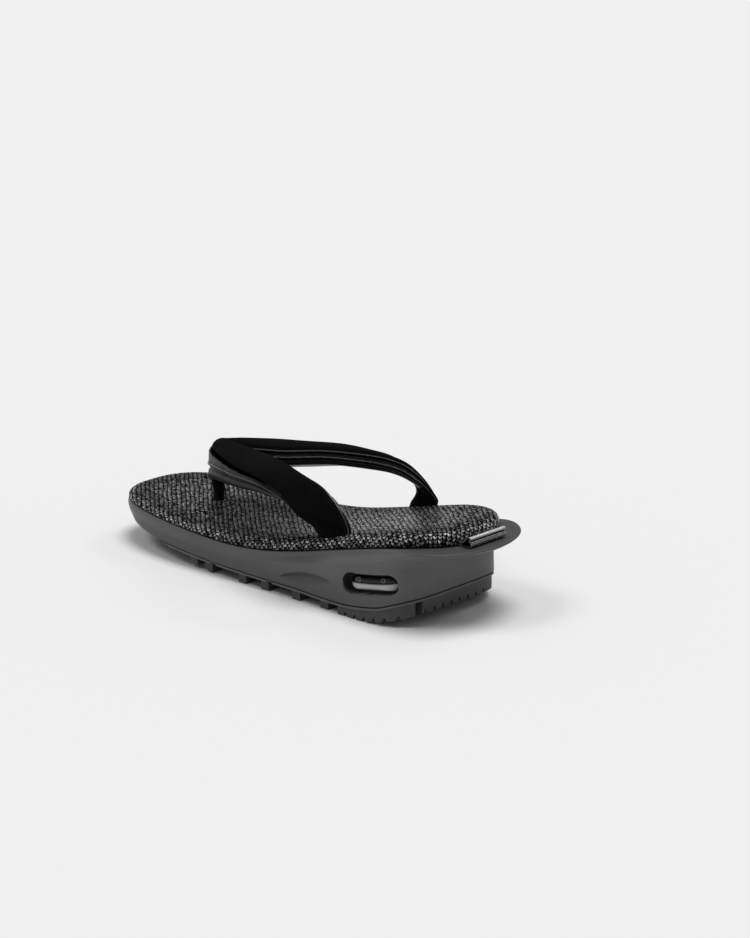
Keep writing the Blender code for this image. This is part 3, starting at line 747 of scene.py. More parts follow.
def weave_look():
    """Glossy flat cord in wales of V stitches: height = sin(pi fract(v)) (1 - |q|^3), where q runs from -1
    to 1 across a wale and v = run + 0.55 |q| + 0.3 shift, run being the way along the wale in stitches and
    shift a random number for each wale. A slow noise bends the wales. Each stitch has its own random tone,
    partly the cord's pale fibres and partly painted glints, and the colour sinks into painted shade where
    the height is low. The attribute rise paints shade down the side and dims the top, and lets a coat shine
    on the shoulder."""
    look = Look("black_weave", grey(0.03, 0.031), 0.34, Coat_Roughness=0.26, Coat_IOR=1.8)
    plan = look.parts(look.plan())
    noise = look.node("ShaderNodeTexNoise", {"Vector": look.plan(), "Scale": 0.09, "Detail": 2.0})
    drift = look.parts(noise.outputs["Color"])
    x, y = (look.plus(plan[axis], look.scaled(drift[axis], WALE_DRIFT, -0.5 * WALE_DRIFT)) for axis in "XY")
    cos, sin = math.cos(math.radians(WALE_TURN)), math.sin(math.radians(WALE_TURN))
    across = look.plus(look.times(x, cos / WALE_WIDTH), look.times(y, sin / WALE_WIDTH))
    run = look.plus(look.times(x, -sin / STITCH_LENGTH), look.times(y, cos / STITCH_LENGTH))
    wale = look.calc("FLOOR", across)
    q = look.calc("ABSOLUTE", look.scaled(look.calc("FRACT", across), 2.0, -1.0))
    side = look.calc("GREATER_THAN", look.calc("FRACT", across), 0.5)
    shift = look.random(look.vector(wale, 3.0, 7.0))
    v = look.plus(look.plus(run, look.times(q, STITCH_SLANT)), look.times(shift, 0.3))
    stitch = look.calc("FLOOR", v)
    ridge = look.wave(look.calc("FRACT", v), 2.0)
    round_off = look.calc("SUBTRACT", 1.0, look.calc("POWER", q, 3.0))
    height = look.times(ridge, round_off)
    tone = look.random(look.vector(wale, stitch, side))
    fibre = look.noise(look.vector(look.times(across, 9.0), look.times(run, 3.0)), 2.0, 2.0)
    depth = look.ranged(height, 0.28, 0.74)
    leg = look.scaled(side, 0.55, 0.45)
    # Pale stitches: partly the cord's pale fibres, partly painted glints.
    pale = look.times(look.calc("POWER", tone, 1.5), look.ranged(fibre, 0.35, 0.65, 0.60, 1.0))
    cord = look.tinted(look.times(pale, leg), grey(0.020, 0.0204), grey(0.85, 0.855))
    rise = look.node("ShaderNodeAttribute", attribute_name="rise").outputs["Fac"]
    # Painted shade by the rise: darker down the side, dimmer on the top, full on the shoulder.
    painted_rise_shade = look.ranged(rise, 0.05, 0.50, 0.30, 1.0)
    painted_rise_shade = look.times(painted_rise_shade, look.ranged(rise, 0.97, 0.86, 0.50, 1.0))
    shown = look.times(depth, painted_rise_shade)
    # Painted shade: near black where the stitch height is low, between the stitches.
    look.colour(shown, grey(0.0010), cord)
    lit = look.times(depth, tone)
    look.set("Specular IOR Level", look.times(lit, 0.9))
    shoulder = look.times(look.ranged(rise, 0.96, 0.86), look.ranged(rise, 0.10, 0.40))
    look.set("Coat Weight", look.times(lit, shoulder))
    look.rough(tone, 0.40, 0.18, 0.0, 1.0)
    look.bump(fibre, 0.0001, 0.4, look.bump(height, 0.0009, 1.0))
    return look


def velvet_look():
    """Cut pile: matt black with a pale sheen at grazing angles, brushed patches and fine nap."""
    look = Look(
        "black_velvet", grey(0.003), 0.95, Specular_IOR_Level=0.03, Sheen_Weight=0.03,
        Sheen_Roughness=0.35, Sheen_Tint=(0.8, 0.8, 0.82, 1.0),
    )
    place = look.place()
    brushed = look.noise(place, 55.0, 4.0, 0.6)
    nap = look.noise(place, 3200.0, 2.0)
    tone = look.times(brushed, look.ranged(nap, 0.3, 0.7, 0.5, 1.0))
    look.colour(tone, grey(0.0010), grey(0.0060, 0.0061))
    look.bump(nap, 0.00018, 0.7, look.bump(brushed, 0.0006, 0.25))
    return look


def leather_look():
    """Smooth black leather: pebble grain, satin glaze rubbed duller in patches."""
    look = Look("black_leather", grey(0.006), 0.38, Specular_IOR_Level=0.13)
    place = look.place()
    grain = look.cells(place, 1500.0)
    wear_and_painted_highlight = look.noise(place, 70.0, 5.0, 0.6)
    look.colour(wear_and_painted_highlight, grey(0.0035, 0.0036), grey(0.0085, 0.0087))
    look.rough(wear_and_painted_highlight, 0.30, 0.44)
    look.bump(grain, 0.00012, 0.45, look.bump(wear_and_painted_highlight, 0.0005, 0.3))
    return look


def piping_look():
    """Glossy piping: polished leather with short dull rubs along it."""
    look = Look("glossy_piping", grey(0.012), 0.28, Specular_IOR_Level=0.6)
    wear_and_painted_highlight = look.noise(look.place(), 180.0, 4.0, 0.6)
    look.colour(wear_and_painted_highlight, grey(0.006), grey(0.022))
    look.rough(wear_and_painted_highlight, 0.20, 0.38)
    look.bump(wear_and_painted_highlight, 0.0002, 0.3)
    return look


def groove_shade_look():
    """Bottom of the strap's grooves: near-black painted shade, with faint stitches."""
    look = Look("groove_painted_shade", grey(0.001), 1.0, Specular_IOR_Level=0.0)
    thread = look.noise(look.place(), 900.0, 2.0)
    look.colour(thread, grey(0.0004), grey(0.0022))
    look.bump(thread, 0.0001, 0.5)
    return look


def cloth_look():
    """Matt cloth wound round the post: threads in a plain over-and-under weave, and lint."""
    look = Look(
        "black_cloth", grey(0.004), 0.9, Specular_IOR_Level=0.1, Sheen_Weight=0.05, Sheen_Roughness=0.5,
    )
    plan = look.parts(look.plan())
    warp = look.wave(plan["X"], THREAD_PITCH)
    weft = look.wave(plan["Y"], THREAD_PITCH)
    height = look.times(warp, weft)
    lint = look.noise(look.place(), 900.0, 4.0, 0.7)
    look.colour(look.ranged(lint, 0.45, 0.75), grey(0.0015), grey(0.010))
    look.bump(height, 0.0001, 0.6, look.bump(lint, 0.0002, 0.3))
    return look


def ribbon_look():
    """Gloss ribbon: fine ribs across its width, a paler painted highlight along both edges and a pale
    painted highlight on the top of its fold.
    """
    look = Look(
        "gloss_ribbon", grey(0.014, 0.0145), 0.24, Specular_IOR_Level=0.9, Coat_Weight=1.0,
        Coat_Roughness=0.16,
    )
    plan = look.parts(look.plan())
    rib = look.wave(plan["Y"], RIB_PITCH)
    lengthwise = look.noise(look.vector(look.times(plan["X"], 0.3), look.times(plan["Y"], 4.0)), 1.0, 3.0)
    # Painted highlight: both long edges paler, as if they catch the lamps.
    edge_highlight = look.calc("GREATER_THAN", look.calc("ABSOLUTE", plan["X"]), 500 * TAB_WIDTH - 0.35)
    tone = look.tinted(lengthwise, grey(0.030, 0.0305), grey(0.095, 0.0955))
    # Painted highlight: a pale band on the top of the fold.
    crest_highlight = look.ranged(look.parts(look.place())["Z"], TAB_CREST - 0.0011, TAB_CREST - 0.0004)
    wear_and_painted_highlight = look.tinted(crest_highlight, tone, grey(0.42, 0.422))
    look.colour(edge_highlight, wear_and_painted_highlight, grey(0.10))
    look.rough(lengthwise, 0.15, 0.27)
    look.bump(rib, 0.00003, 0.25, look.bump(lengthwise, 0.0002, 0.15))
    return look


def ribbon_back_look():
    """Dull black back of the ribbon, seen inside the fold."""
    look = Look("ribbon_back", grey(0.003), 0.8, Specular_IOR_Level=0.1)
    plan = look.parts(look.plan())
    rib = look.wave(plan["Y"], RIB_PITCH)
    look.colour(look.ranged(rib, -1.0, 1.0), grey(0.0015), grey(0.005))
    look.bump(rib, 0.00004, 0.5)
    return look


def film_look():
    """Blown film: dark above, a pale band of painted light, the floor's reflection, along its lower bulge,
    and moulded ring marks.
    """
    look = Look("smoky_film", grey(0.12, 0.122), 0.12, Specular_IOR_Level=0.25)
    plan = look.parts(look.plan())
    # Painted light: the lower bulge pale, as the floor's reflection.
    floor_light_band = look.ranged(plan["Y"], 0.1, -0.5)
    cloud = look.noise(look.plan(), 0.35, 4.0)
    pale = look.tinted(cloud, grey(0.36, 0.362), grey(0.50, 0.502))
    ground = look.tinted(floor_light_band, grey(0.004), pale)
    marks = 0.0
    for along_window, up, radius in RING_MARKS:
        dx = look.calc("SUBTRACT", plan["X"], along_window)
        dy = look.calc("SUBTRACT", plan["Y"], up)
        reach = look.calc("SQRT", look.plus(look.times(dx, dx), look.times(dy, dy)))
        away = look.calc("ABSOLUTE", look.calc("SUBTRACT", reach, radius))
        marks = look.calc("MAXIMUM", marks, look.ranged(away, 0.42, 0.15))
    look.colour(look.times(marks, 0.8), ground, grey(0.16, 0.162))
    look.bump(look.scaled(marks, 1.0, look.times(cloud, 0.3)), 0.0002, 0.5)
    return look


# Sole

def window_place(x, z, centre_x, centre_z, slope):
    """Place in the side view, along and up a slot turned by a slope."""
    turn = math.radians(slope)
    return (
        (x - centre_x) * math.cos(turn) - (z - centre_z) * math.sin(turn),
        (x - centre_x) * math.sin(turn) + (z - centre_z) * math.cos(turn),
    )


def window_depth(x, z):
    """Depth of the window's recess: full inside a rounded rectangle, with an eased rim. The distance
    to it is |max(q, 0)| + min(max(q), 0) - corner, q being the place beyond the straight sides."""
    a, b = window_place(x, z, WINDOW_FROM_HEEL, WINDOW_CENTRE_HEIGHT, WINDOW_SLOPE)
    qa = np.abs(a) - 0.5 * WINDOW_LENGTH + WINDOW_CORNER
    qb = np.abs(b) - 0.5 * WINDOW_HEIGHT + WINDOW_CORNER
    outside = np.hypot(np.maximum(qa, 0), np.maximum(qb, 0))
    distance = outside + np.minimum(np.maximum(qa, qb), 0) - WINDOW_CORNER
    rim = WINDOW_RIM_DEPTH * smooth(WINDOW_RIM_WIDTH, 0.0, distance)
    return rim + (WINDOW_DEPTH - WINDOW_RIM_DEPTH) * smooth(0.00010, -0.00035, distance)


def scoop_depth(x, z):
    """Depth of the leaf-shaped scoop: with w = 1 - a^2 across its length and t = b / w up it, a steep
    step just under the upper edge, then a slow fade to the lower one, times w^0.8."""
    a, b = window_place(x, z, SCOOP_FROM_HEEL, SCOOP_CENTRE_HEIGHT, SCOOP_SLOPE)
    a, b = a / (0.5 * SCOOP_LENGTH), b / (0.5 * SCOOP_HEIGHT)
    width = np.maximum(1 - a * a, 1e-6)
    up = b / width
    return SCOOP_DEPTH * smooth(1.0, 0.72, up) * smooth(-1.0, 0.8, up) * width**0.8 * (np.abs(a) < 1)


def midsole():
    """Rings between the wall's foot and the seat. The wall runs straight from foot to top; from there
    each corner of the section is rounded by a parabola between points a share r along its two sides.
    The points stand closer round the window."""
    def weight(x):
        return 1 + 2.6 * (smooth(0.012, 0.018, x) - smooth(0.066, 0.072, x))

    way = spaced(wall_foot_outline, WALL_STEPS, weight)
    lines = (
        (wall_foot_outline, lambda x: outsole_height(x) + SEAT_GAP),
        (wall_top_outline, wall_top_height),
        (crest_outline, crest_height),
        (shelf_outline, lambda x: seat_height(x) - shelf_edge(x)),
    )
    corners = []
    for outline_at, height in lines:
        ring = around(outline_at(way))
        corners.append(np.column_stack([ring, height(ring[:, 0])]))
    seat = around(shelf_outline(way))
    seat = seat - outward(seat) * LIP
    corners.append(np.column_stack([seat, seat_height(seat[:, 0])]))
    foot, top = corners[:2]
    inner = seat - outward(seat) * SEAT_INSET
    inner = np.column_stack([inner, seat_height(inner[:, 0])])
    corners.append(inner)
    rounds = []
    for i, (share, steps) in enumerate(SOLE_ROUNDING):
        before, corner, after = corners[i:i + 3]
        start, end = corner + share * (before - corner), corner + share * (after - corner)
        t = np.linspace(0, 1, steps)[:, None, None]
        rounds.append((1 - t) ** 2 * start + 2 * t * (1 - t) * corner + t**2 * end)

    wall_end = top + SOLE_ROUNDING[0][0] * (foot - top)
    up = np.linspace(0, 1, WALL_ROWS)[:, None, None]
    wall = foot + up * (wall_end - foot)
    radial = outward(around(wall_foot_outline(way)))
    carve = window_depth(wall[..., 0], wall[..., 2]) + scoop_depth(wall[..., 0], wall[..., 2])
    wall[..., 1] -= np.sign(wall[..., 1]) * carve
    inwards = np.column_stack([radial, np.zeros(len(radial))])
    wall[0] -= FOOT_ROUNDING * inwards
    tuck = foot - 2.2 * FOOT_ROUNDING * inwards
    rings = np.concatenate([tuck[None], wall, rounds[0][1:], *rounds[1:], inner[None]])
    points, faces = shell(rings)
    count = len(foot)
    kinds = np.zeros(len(faces))
    # Faces in the window's recess take the darker look: painted shade.
    shaded_recess_faces = window_depth(wall[:-1, :, 0], wall[:-1, :, 2]) > 0.2 * WINDOW_DEPTH
    kinds[count:count + shaded_recess_faces.size] = shaded_recess_faces.ravel()
    return piece(
        "moulded_midsole", points, faces, [foam_look(), pocket_shade_look()], "midsole",
        kinds=kinds,
    )


def half_width_at(x):
    """Half width of the wall's foot."""
    way = np.linspace(0, 3, 3001)
    points = wall_foot_outline(way)
    return np.interp(x, points[:, 0], points[:, 1])


def air_unit():
    """Pill section carried across the sole; each end is domed, and its lower half bulges out."""
    angle = circle(96)
    corner = AIR_UNIT_CORNER
    unit = np.stack([np.cos(angle), np.sin(angle)], -1)
    size = np.array((AIR_UNIT_LENGTH, AIR_UNIT_HEIGHT))
    section = np.sign(unit) * (0.5 * size - corner) + corner * unit
    turn = math.radians(-WINDOW_SLOPE)
    rings, plans = [], []
    shares = np.concatenate([np.linspace(0.02, 0.6, 10), np.linspace(0.64, 0.95, 9), [0.98, 1.0, 1.0]])
    backs = np.concatenate([1 - np.sqrt(1 - np.minimum(shares[:-1], 1.0) ** 4), [2.4]])
    for sign in (1, -1):
        for share, back in list(zip(shares, backs))[::sign]:
            a, b = (section * share).T
            x = WINDOW_FROM_HEEL + a * math.cos(turn) - b * math.sin(turn)
            z = WINDOW_CENTRE_HEIGHT + a * math.sin(turn) + b * math.cos(turn)
            bulge = AIR_UNIT_BULGE * smooth(0.0006, -0.0012, b) * (1 - share**4)
            y = half_width_at(x) - AIR_UNIT_RECESS - AIR_UNIT_RECESS * back + bulge - 0.0004
            rings.append(np.stack([x, sign * y, z], -1))
            plans.append(np.stack([1000 * a, 1000 * b], -1))
    points, faces = shell(np.array(rings), flat_ends=True)
    return piece(
        "blown_air_unit", points, faces, [film_look()], "air_unit",
        plan=np.concatenate(plans), sharp=50,
    )


def comb(place):
    """Grooves at an even pitch: their depth times an eased pulse of their width."""
    away = np.abs((place / GROOVE_PITCH) % 1.0 - 0.5) * GROOVE_PITCH
    return GROOVE_DEPTH * smooth(0.5 * GROOVE_WIDTH, 0.25 * GROOVE_WIDTH, away)


def lug(x_low, x_high, y_low, y_high, steps, grooves=""):
    """Block from the ground to half way up the plate, over a four-sided patch: x = x_low + a (x_high -
    x_low), y = y_low + b (y_high - y_low), where x_low can vary with y or y_high with x. Grooves in its
    underside are spaced along x or y."""
    a, b = np.meshgrid(np.linspace(0, 1, steps[0]), np.linspace(0, 1, steps[1]), indexing="ij")
    if callable(y_high):
        x = x_low + a * (x_high - x_low)
        y = y_low + b * (y_high(x) - y_low)
    else:
        y = y_low + b * (y_high - y_low)
        start = x_low(y) if callable(x_low) else x_low
        x = start + a * (x_high - start)
    floor = ground_height(x)
    if grooves:
        floor = floor + comb(x if grooves == "x" else y)
    top = outsole_height(x) - 0.5 * PLATE_THICKNESS
    low, high = np.stack([x, y, floor], -1), np.stack([x, y, top], -1)
    na, nb = steps
    index = np.arange(na * nb).reshape(na, nb)
    quads = np.stack([index[:-1, :-1], index[1:, :-1], index[1:, 1:], index[:-1, 1:]], -1).reshape(-1, 4)
    edge = np.concatenate([index[:-1, 0], index[-1, :-1], index[:0:-1, -1], index[0, :0:-1]])
    after = np.roll(edge, -1)
    walls = np.stack([edge, after, after + na * nb, edge + na * nb], -1)
    faces = quads[:, ::-1].tolist() + (quads + na * nb).tolist() + walls.tolist()
    points = np.concatenate([low.reshape(-1, 3), high.reshape(-1, 3)])
    return points, turned_out(points, faces)


def mirrored(part):
    points, faces = part
    return points * (1, -1, 1), [face[::-1] for face in faces]


def outsole():
    """Thin plate under the sole with two thinner flex lines, a heel block in lugs, and studs."""
    way = spaced(wall_foot_outline, PLATE_STEPS)
    step = 0.0002
    marks = np.array([
        share * FOOTBED_LENGTH + side * 0.5 * FLEX_GAP_WIDTH + fine
        for share in FLEX_GAP_SHARES for side in (-1, 1) for fine in (-step, step)
    ])
    length = TOE_START - SOLE_BACK - SOLE_CORNER_LENGTH
    way = np.sort(np.concatenate([way, 1 + (marks - SOLE_BACK - SOLE_CORNER_LENGTH) / length]))
    half = wall_foot_outline(way)
    half = half[half[:, 0] < PLATE_FRONT]
    half = np.concatenate([half, [(PLATE_FRONT, half[-1, 1]), (PLATE_FRONT, 0.0)]])
    ring = around(half)
    normal = outward(ring)
    away = (np.abs(ring[:, 0] - share * FOOTBED_LENGTH) - 0.5 * FLEX_GAP_WIDTH for share in FLEX_GAP_SHARES)
    thin = sum(smooth(step, -step, distance) for distance in away)
    top = outsole_height(ring[:, 0])
    bottom = top - PLATE_THICKNESS + (PLATE_THICKNESS - PLATE_WEB) * thin
    rows = []
    for inset, share in PLATE_SECTION:
        plan = ring - normal * inset
        rows.append(np.column_stack([plan, bottom + share * (top - bottom)]))
    plate = shell(np.array(rows))

    back = wall_foot_outline(np.linspace(0, 1, 2001))
    inset = HEEL_BLOCK_INSET

    def back_edge(y):
        return np.interp(np.abs(y), back[:, 1], back[:, 0]) + inset

    def side_edge(x):
        return half_width_at(x - inset) - inset

    slot_in, slot_out = NOTCH_SIDE - 0.5 * NOTCH_WIDTH, NOTCH_SIDE + 0.5 * NOTCH_WIDTH
    block_end = NOTCH_END + LUG_OVERLAP
    side = lug(back_edge(slot_out) + 0.0004, block_end, slot_out, side_edge, (60, 12), "x")
    front_side = lug(NOTCH_END, HEEL_BLOCK_FRONT, 0.0, side_edge, (44, 20), "x")
    parts = [
        (plate[0], turned_out(*plate)),
        lug(back_edge, block_end, -slot_out - LUG_OVERLAP, slot_in, (20, 140), "y"),
        side, mirrored(side), front_side, mirrored(front_side),
    ]
    for share in STUD_SHARES:
        x = share * FOOTBED_LENGTH
        ends = x - 0.5 * STUD_LENGTH, x + 0.5 * STUD_LENGTH
        edge = half_width_at(x) - STUD_EDGE_INSET
        outer = lug(*ends, edge - STUD_WIDTH, edge, (10, 8))
        middle = lug(*ends, -0.5 * MIDDLE_STUD_WIDTH, 0.5 * MIDDLE_STUD_WIDTH, (10, 10))
        parts += [outer, mirrored(outer), middle]
    points, faces = joined(parts)
    kinds = np.arange(len(faces)) < len(plate[1])
    looks = [rubber_look("dark_rubber", 0.046), rubber_look("plate_rubber", 0.085)]
    made = piece("lugged_outsole", points, faces, looks, "outsole", kinds=kinds)
    bevel = made.modifiers.new("worn edges", "BEVEL")
    bevel.width = 0.0003
    bevel.segments = 2
    bevel.limit_method = "ANGLE"
    bevel.angle_limit = math.radians(50)
    return made


# Footbed

def footbed():
    """Rings of the padded section, from its foot round the shoulder to the dish. The plan laid on the
    weave goes on past the dish by the length run over the shoulder, so the cord wraps round it. The
    attribute rise is each point's height as a share of the thickness."""
    way = spaced(footbed_outline, FOOTBED_STEPS)
    ring = around(footbed_outline(way))
    normal = outward(ring)
    rows = len(FOOTBED_SECTION)
    table = np.column_stack([np.arange(rows), FOOTBED_SECTION])
    place = np.concatenate([np.linspace(0, 5, 41), np.linspace(5, 7, 13)[1:]])
    inset, rise = along(table, place, 1) * HEEL_THICKNESS, along(table, place, 2)
    plan = ring[None] - normal[None] * inset[:, None, None]
    plan[:, ring[:, 1] == 0, 1] = 0.0
    x = plan[..., 0]
    height = seat_height(x) + SEAT_GAP + (footbed_thickness(x) - SEAT_GAP) * rise[:, None]
    rings = np.concatenate([plan, height[..., None]], -1)
    steps = np.linalg.norm(np.diff(rings, axis=0), axis=-1)
    run = np.concatenate([np.cumsum(steps[::-1], axis=0)[::-1], np.zeros((1, len(ring)))])
    laid = 1000 * (plan[-1][None] + normal[None] * run[..., None])
    points, faces = shell(rings)
    made = piece(
        "woven_footbed", points, faces, [weave_look()], "footbed",
        plan=laid.reshape(-1, 2), sharp=60,
    )
    layer = made.data.attributes.new("rise", "FLOAT", "POINT")
    layer.data.foreach_set("value", np.repeat(rise, len(ring)).astype(np.float32))
    return made


# Strap and toe post

def strap_edge(table, share, drop):
    """Points on one edge of the strap at shares from its nose to its foot."""
    keyed = np.column_stack([np.linspace(0, 1, len(table)), table])
    back, spread, rise = (along(keyed, share, i) for i in (1, 2, 3))
    x = POST_FROM_HEEL - (POST_FROM_HEEL - STRAP_FOOT_FROM_HEEL) * back
    return np.stack([x, STRAP_FOOT_HALF_SPREAD * spread, footbed_top(x) + STRAP_RISE * rise - drop], -1)


def unit(vectors):
    return vectors / np.maximum(np.linalg.norm(vectors, axis=-1, keepdims=True), 1e-12)


def rows_from(row, place):
    """Signed number of rows from a place, the shorter way round the section."""
    half = len(STRAP_SECTION) / 2
    return (row - place + half) % (2 * half) - half


def strap_relief(share, row):
    """Rise of the strap's surface: a deep groove where the velvet stops and ridges and troughs along
    the strap, each a bell curve across the rows, and slanting creases, each a bell curve both ways."""
    groove = along(GROOVE_LINE, share, 1)
    held = 1 - smooth(*GROOVE_FADE, share)
    rise = 0.0
    for place, width, height in GROOVE_PROFILE:
        rise = rise + height * held * np.exp(-(((row - groove - place) / width) ** 2))
    for place, width, height, start, end in STRAP_SEAMS:
        fade = 1 - smooth(start, end, share)
        rise = rise + height * fade * np.exp(-((rows_from(row, place) / width) ** 2))
    for at, place, slant, long, wide, height in STRAP_CREASES:
        away = rows_from(row, place)
        rise = rise + height * np.exp(-(((share - at - slant * away) / long) ** 2) - (away / wide) ** 2)
    return 0.001 * rise


def strap_leg():
    """Padded sections carried between the strap's two edges: point = upper edge + across * way + down *
    depth * sink, moved along its normal by the relief."""
    share = np.linspace(0, 1, STRAP_SECTIONS)
    drop = STRAP_POCKET_DEPTH * smooth(0.955, 1.0, share)
    upper, lower = strap_edge(STRAP_UPPER_EDGE, share, drop), strap_edge(STRAP_LOWER_EDGE, share, drop)
    across = lower - upper
    tangent = np.gradient(0.5 * (upper + lower), axis=0)
    normal = unit(np.cross(across, tangent))
    inner, outer, hang, tuck = (along(STRAP_DEPTHS, share, i)[:, None] for i in (1, 2, 3, 4))
    down = unit(np.concatenate([0 * tuck, -tuck, -hang], -1) - normal * (1 - hang - tuck))

    fine = [np.linspace(place - 0.5, place + 0.5, 15) for place in (0.6, 8.8, 15.5)]
    row = np.unique(np.concatenate([np.linspace(0, 16, 112, endpoint=False), *fine]) % 16)
    wrapped = np.concatenate([STRAP_SECTION[-3:], STRAP_SECTION, STRAP_SECTION[:3]])
    keyed = np.column_stack([np.arange(-3, len(wrapped) - 3), wrapped])
    way, sink = along(keyed, row, 1), along(keyed, row, 2)
    depth = STRAP_THICKNESS * (inner + (outer - inner) * way[None])
    points = (
        upper[:, None] + across[:, None] * way[None, :, None]
        + down[:, None] * (depth * sink[None])[..., None]
    )
    run_along = np.gradient(points, axis=0)
    run_round = np.roll(points, -1, 1) - np.roll(points, 1, 1)
    face_out = unit(np.cross(run_round, run_along))
    centre = points.mean(1, keepdims=True)
    face_out *= np.sign(((points - centre) * face_out).sum(-1).mean())
    relief = strap_relief(share[:, None], row[None])
    points = points + face_out * relief[..., None]
    nose = points[:1]
    middle = nose.mean(1, keepdims=True)
    tucked = middle + (nose - middle) * NOSE_TUCK - (0, NOSE_OVERLAP, 0)
    points = np.concatenate([tucked, points])
    share = np.concatenate([[0.0], share])
    at, row = share[:-1, None], row[None]
    groove = along(GROOVE_LINE, at, 1)
    velvet = (row > VELVET_ROWS[0]) & (row < np.where(at < VELVET_END, groove, VELVET_ROWS[1]))
    velvet |= (row > FOOT_VELVET_ROWS[0]) & (row < FOOT_VELVET_ROWS[1]) & (at > FOOT_VELVET_START)
    flat, faces = shell(points, flat_ends=True)
    sides = (row < 6) | (row > 12) | (at < VELVET_END)

    def near(rows):
        return sides & (sum(np.abs(rows_from(row, place)) < wide for place, wide in rows) > 0)

    # Faces in the groove and the seams beside the piping take the near-black look of painted shade.
    gap = 0.16 + 0.22 * smooth(0.10, 0.26, at) * smooth(SHADED_GROOVE_END, 0.38, at)
    shade_faces = near(SEAM_ROWS) | ((np.abs(row - groove) < gap) & (at < SHADED_GROOVE_END))
    kinds = np.where(shade_faces, 3, np.where(near(PIPED_ROWS), 2, np.where(velvet, 0, 1)))
    kinds = np.concatenate([kinds.ravel(), [1, 1]])
    return (flat, turned_out(flat, faces)), kinds


def strap():
    """Both legs, met at the nose."""
    leg, kinds = strap_leg()
    points, faces = joined([leg, mirrored(leg)])
    made = piece(
        "padded_strap", points, faces, [velvet_look(), leather_look(), piping_look(), groove_shade_look()],
        "strap", kinds=np.concatenate([kinds, kinds]), sharp=80,
    )
    return made


def toe_post():
    """Oval column wound in cloth: its radius swells and pinches with height in three soft turns."""
    seat = footbed_top(POST_FROM_HEEL)
    low, high = seat - POST_POCKET_DEPTH, seat + STRAP_RISE * STRAP_LOWER_EDGE[0, 2] - 0.002
    turn = circle(72)[None]
    share = np.linspace(0, 1, POST_ROWS)[:, None]
    z = low + (high - low) * share
    wide = 0.5 * (POST_WIDTH + (POST_FLARE_WIDTH - POST_WIDTH) * smooth(0.2, 0.8, share))
    wide = wide * (POST_FOOT_SHARE + (1 - POST_FOOT_SHARE) * smooth(0.08, 0.40, share))
    wind = 1 + 0.025 * np.sin(6 * np.pi * share + turn) + 0.02 * np.sin(2 * turn + 4)
    pinch = 1 + 0.05 * smooth(0.16, 0.02, share)
    x = POST_FROM_HEEL + 0.5 * POST_LENGTH * wind * pinch * np.cos(turn)
    y = wide * wind * pinch * np.sin(turn)
    rings = np.stack([x, y, z + 0 * turn], -1)
    laid = 1000 * np.stack([0.0043 * turn + 0 * z, z + 0 * turn], -1)
    points, faces = shell(rings, flat_ends=True)
    return piece(
        "cloth_post", points, faces, [cloth_look()], "toe_post",
        plan=laid.reshape(-1, 2), sharp=80,
    )


# Heel tab

def heel_tab():
    """Ribbon along a smooth path through the fold's rows, its two tails under the footbed. Its section
    is a flat bar with round edges: |y| = half width cos^0.12, |z| = half thickness sin^0.35."""
    low = SHELF_HEIGHT + SEAT_GAP + 0.5 * TAB_THICKNESS
    fold = TAB_FOLD * (-TAB_REACH, TAB_HEIGHT) + (0, SHELF_HEIGHT + SEAT_GAP)
    rows = np.concatenate([[(TAB_TONGUE, low)], fold, [(TAB_TONGUE, low + TAB_THICKNESS + SEAT_GAP)]])
    keys = np.concatenate([[0], np.cumsum(np.hypot(*np.diff(rows, axis=0).T))])
    keyed = np.column_stack([keys, rows])
    run = np.linspace(0, keys[-1], TAB_SECTIONS)
    path = np.stack([along(keyed, run, 1), along(keyed, run, 2)], -1)
    tangent = unit(np.gradient(path, axis=0))
    side = np.stack([-tangent[:, 1], tangent[:, 0]], -1)
    turn = circle(96)
    y = 0.5 * TAB_WIDTH * np.sign(np.cos(turn)) * np.abs(np.cos(turn)) ** 0.12
    thick = 0.5 * TAB_THICKNESS * np.sign(np.sin(turn)) * np.abs(np.sin(turn)) ** 0.35
    rings = np.empty((len(run), len(turn), 3))
    rings[..., 0] = path[:, None, 0] + side[:, None, 0] * thick
    rings[..., 1] = y
    rings[..., 2] = path[:, None, 1] + side[:, None, 1] * thick
    laid = 1000 * np.stack([y + 0 * run[:, None], run[:, None] + 0 * y], -1)
    points, faces = shell(rings, flat_ends=True)
    middle = fold.mean(0)
    inner = np.sign(((middle - path) * side).sum(-1))[:, None] * np.sin(turn)[None] > 0
    inside = inner & (path[:, :1] < 0)
    made = piece(
        "ribbon_tab", points, faces, [ribbon_look(), ribbon_back_look()], "heel_tab",
        plan=laid.reshape(-1, 2),
        kinds=np.concatenate([inside[:-1].ravel(), [0, 0]]), sharp=60,
    )
    return made


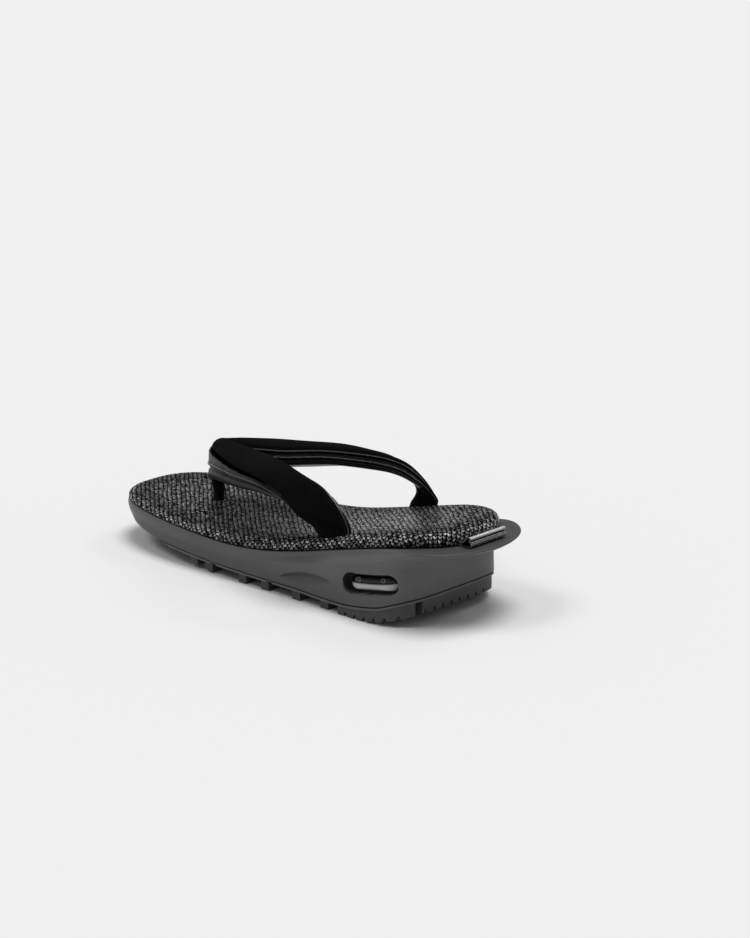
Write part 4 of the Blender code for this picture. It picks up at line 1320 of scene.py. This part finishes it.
# Stage

def stage():
    """Pale floor, white world and three soft lamps."""
    mesh = bpy.data.meshes.new("floor")
    mesh.from_pydata([(-9, -9, 0), (9, -9, 0), (9, 9, 0), (-9, 9, 0)], [], [(0, 1, 2, 3)])
    mesh.materials.append(Look("pale_floor", FLOOR_COLOUR, 1.0, Specular_IOR_Level=0.0).material)
    placed("floor", mesh)

    world = bpy.data.worlds.new("studio")
    world.use_nodes = True
    sky = world.node_tree.nodes["Background"].inputs
    sky["Color"].default_value = (1.0, 1.0, 1.0, 1.0)
    sky["Strength"].default_value = WORLD_STRENGTH
    bpy.context.scene.world = world
    bpy.context.scene.view_settings.view_transform = "Standard"

    for name, direction, energy, spread in LAMPS:
        sun = bpy.data.lights.new(name, "SUN")
        sun.energy = energy
        sun.angle = math.radians(spread)
        lamp = placed(name, sun)
        lamp.rotation_mode = "QUATERNION"
        lamp.rotation_quaternion = Vector(direction).to_track_quat("Z", "Y")


def camera():
    """The photograph's camera, on a turn and a rise about its aim, then turned by its yaw and pitch."""
    def direction(azimuth, rise):
        return Vector((
            math.sin(azimuth) * math.cos(rise), -math.cos(azimuth) * math.cos(rise), math.sin(rise)
        ))

    azimuth, rise = math.pi + math.radians(CAMERA_TURN), math.radians(CAMERA_RISE)
    place = Vector(CAMERA_AIM) + CAMERA_DISTANCE * direction(azimuth, rise) - Vector((MIDDLE_X, 0, 0))
    azimuth += math.radians(CAMERA_YAW)
    back = direction(azimuth, rise + math.radians(CAMERA_PITCH))
    right = Vector((math.cos(azimuth), math.sin(azimuth), 0))
    up = back.cross(right)
    lens = bpy.data.cameras.new("camera")
    lens.sensor_width = 36
    lens.lens = CAMERA_LENS
    lens.clip_start = 0.05
    lens.clip_end = 40
    made = placed("camera", lens)
    made.matrix_world = Matrix.Translation(place) @ Matrix((right, up, back)).transposed().to_4x4()
    bpy.context.scene.camera = made


midsole()
air_unit()
outsole()
footbed()
strap()
toe_post()
heel_tab()
stage()
camera()
bpy.context.view_layer.update()
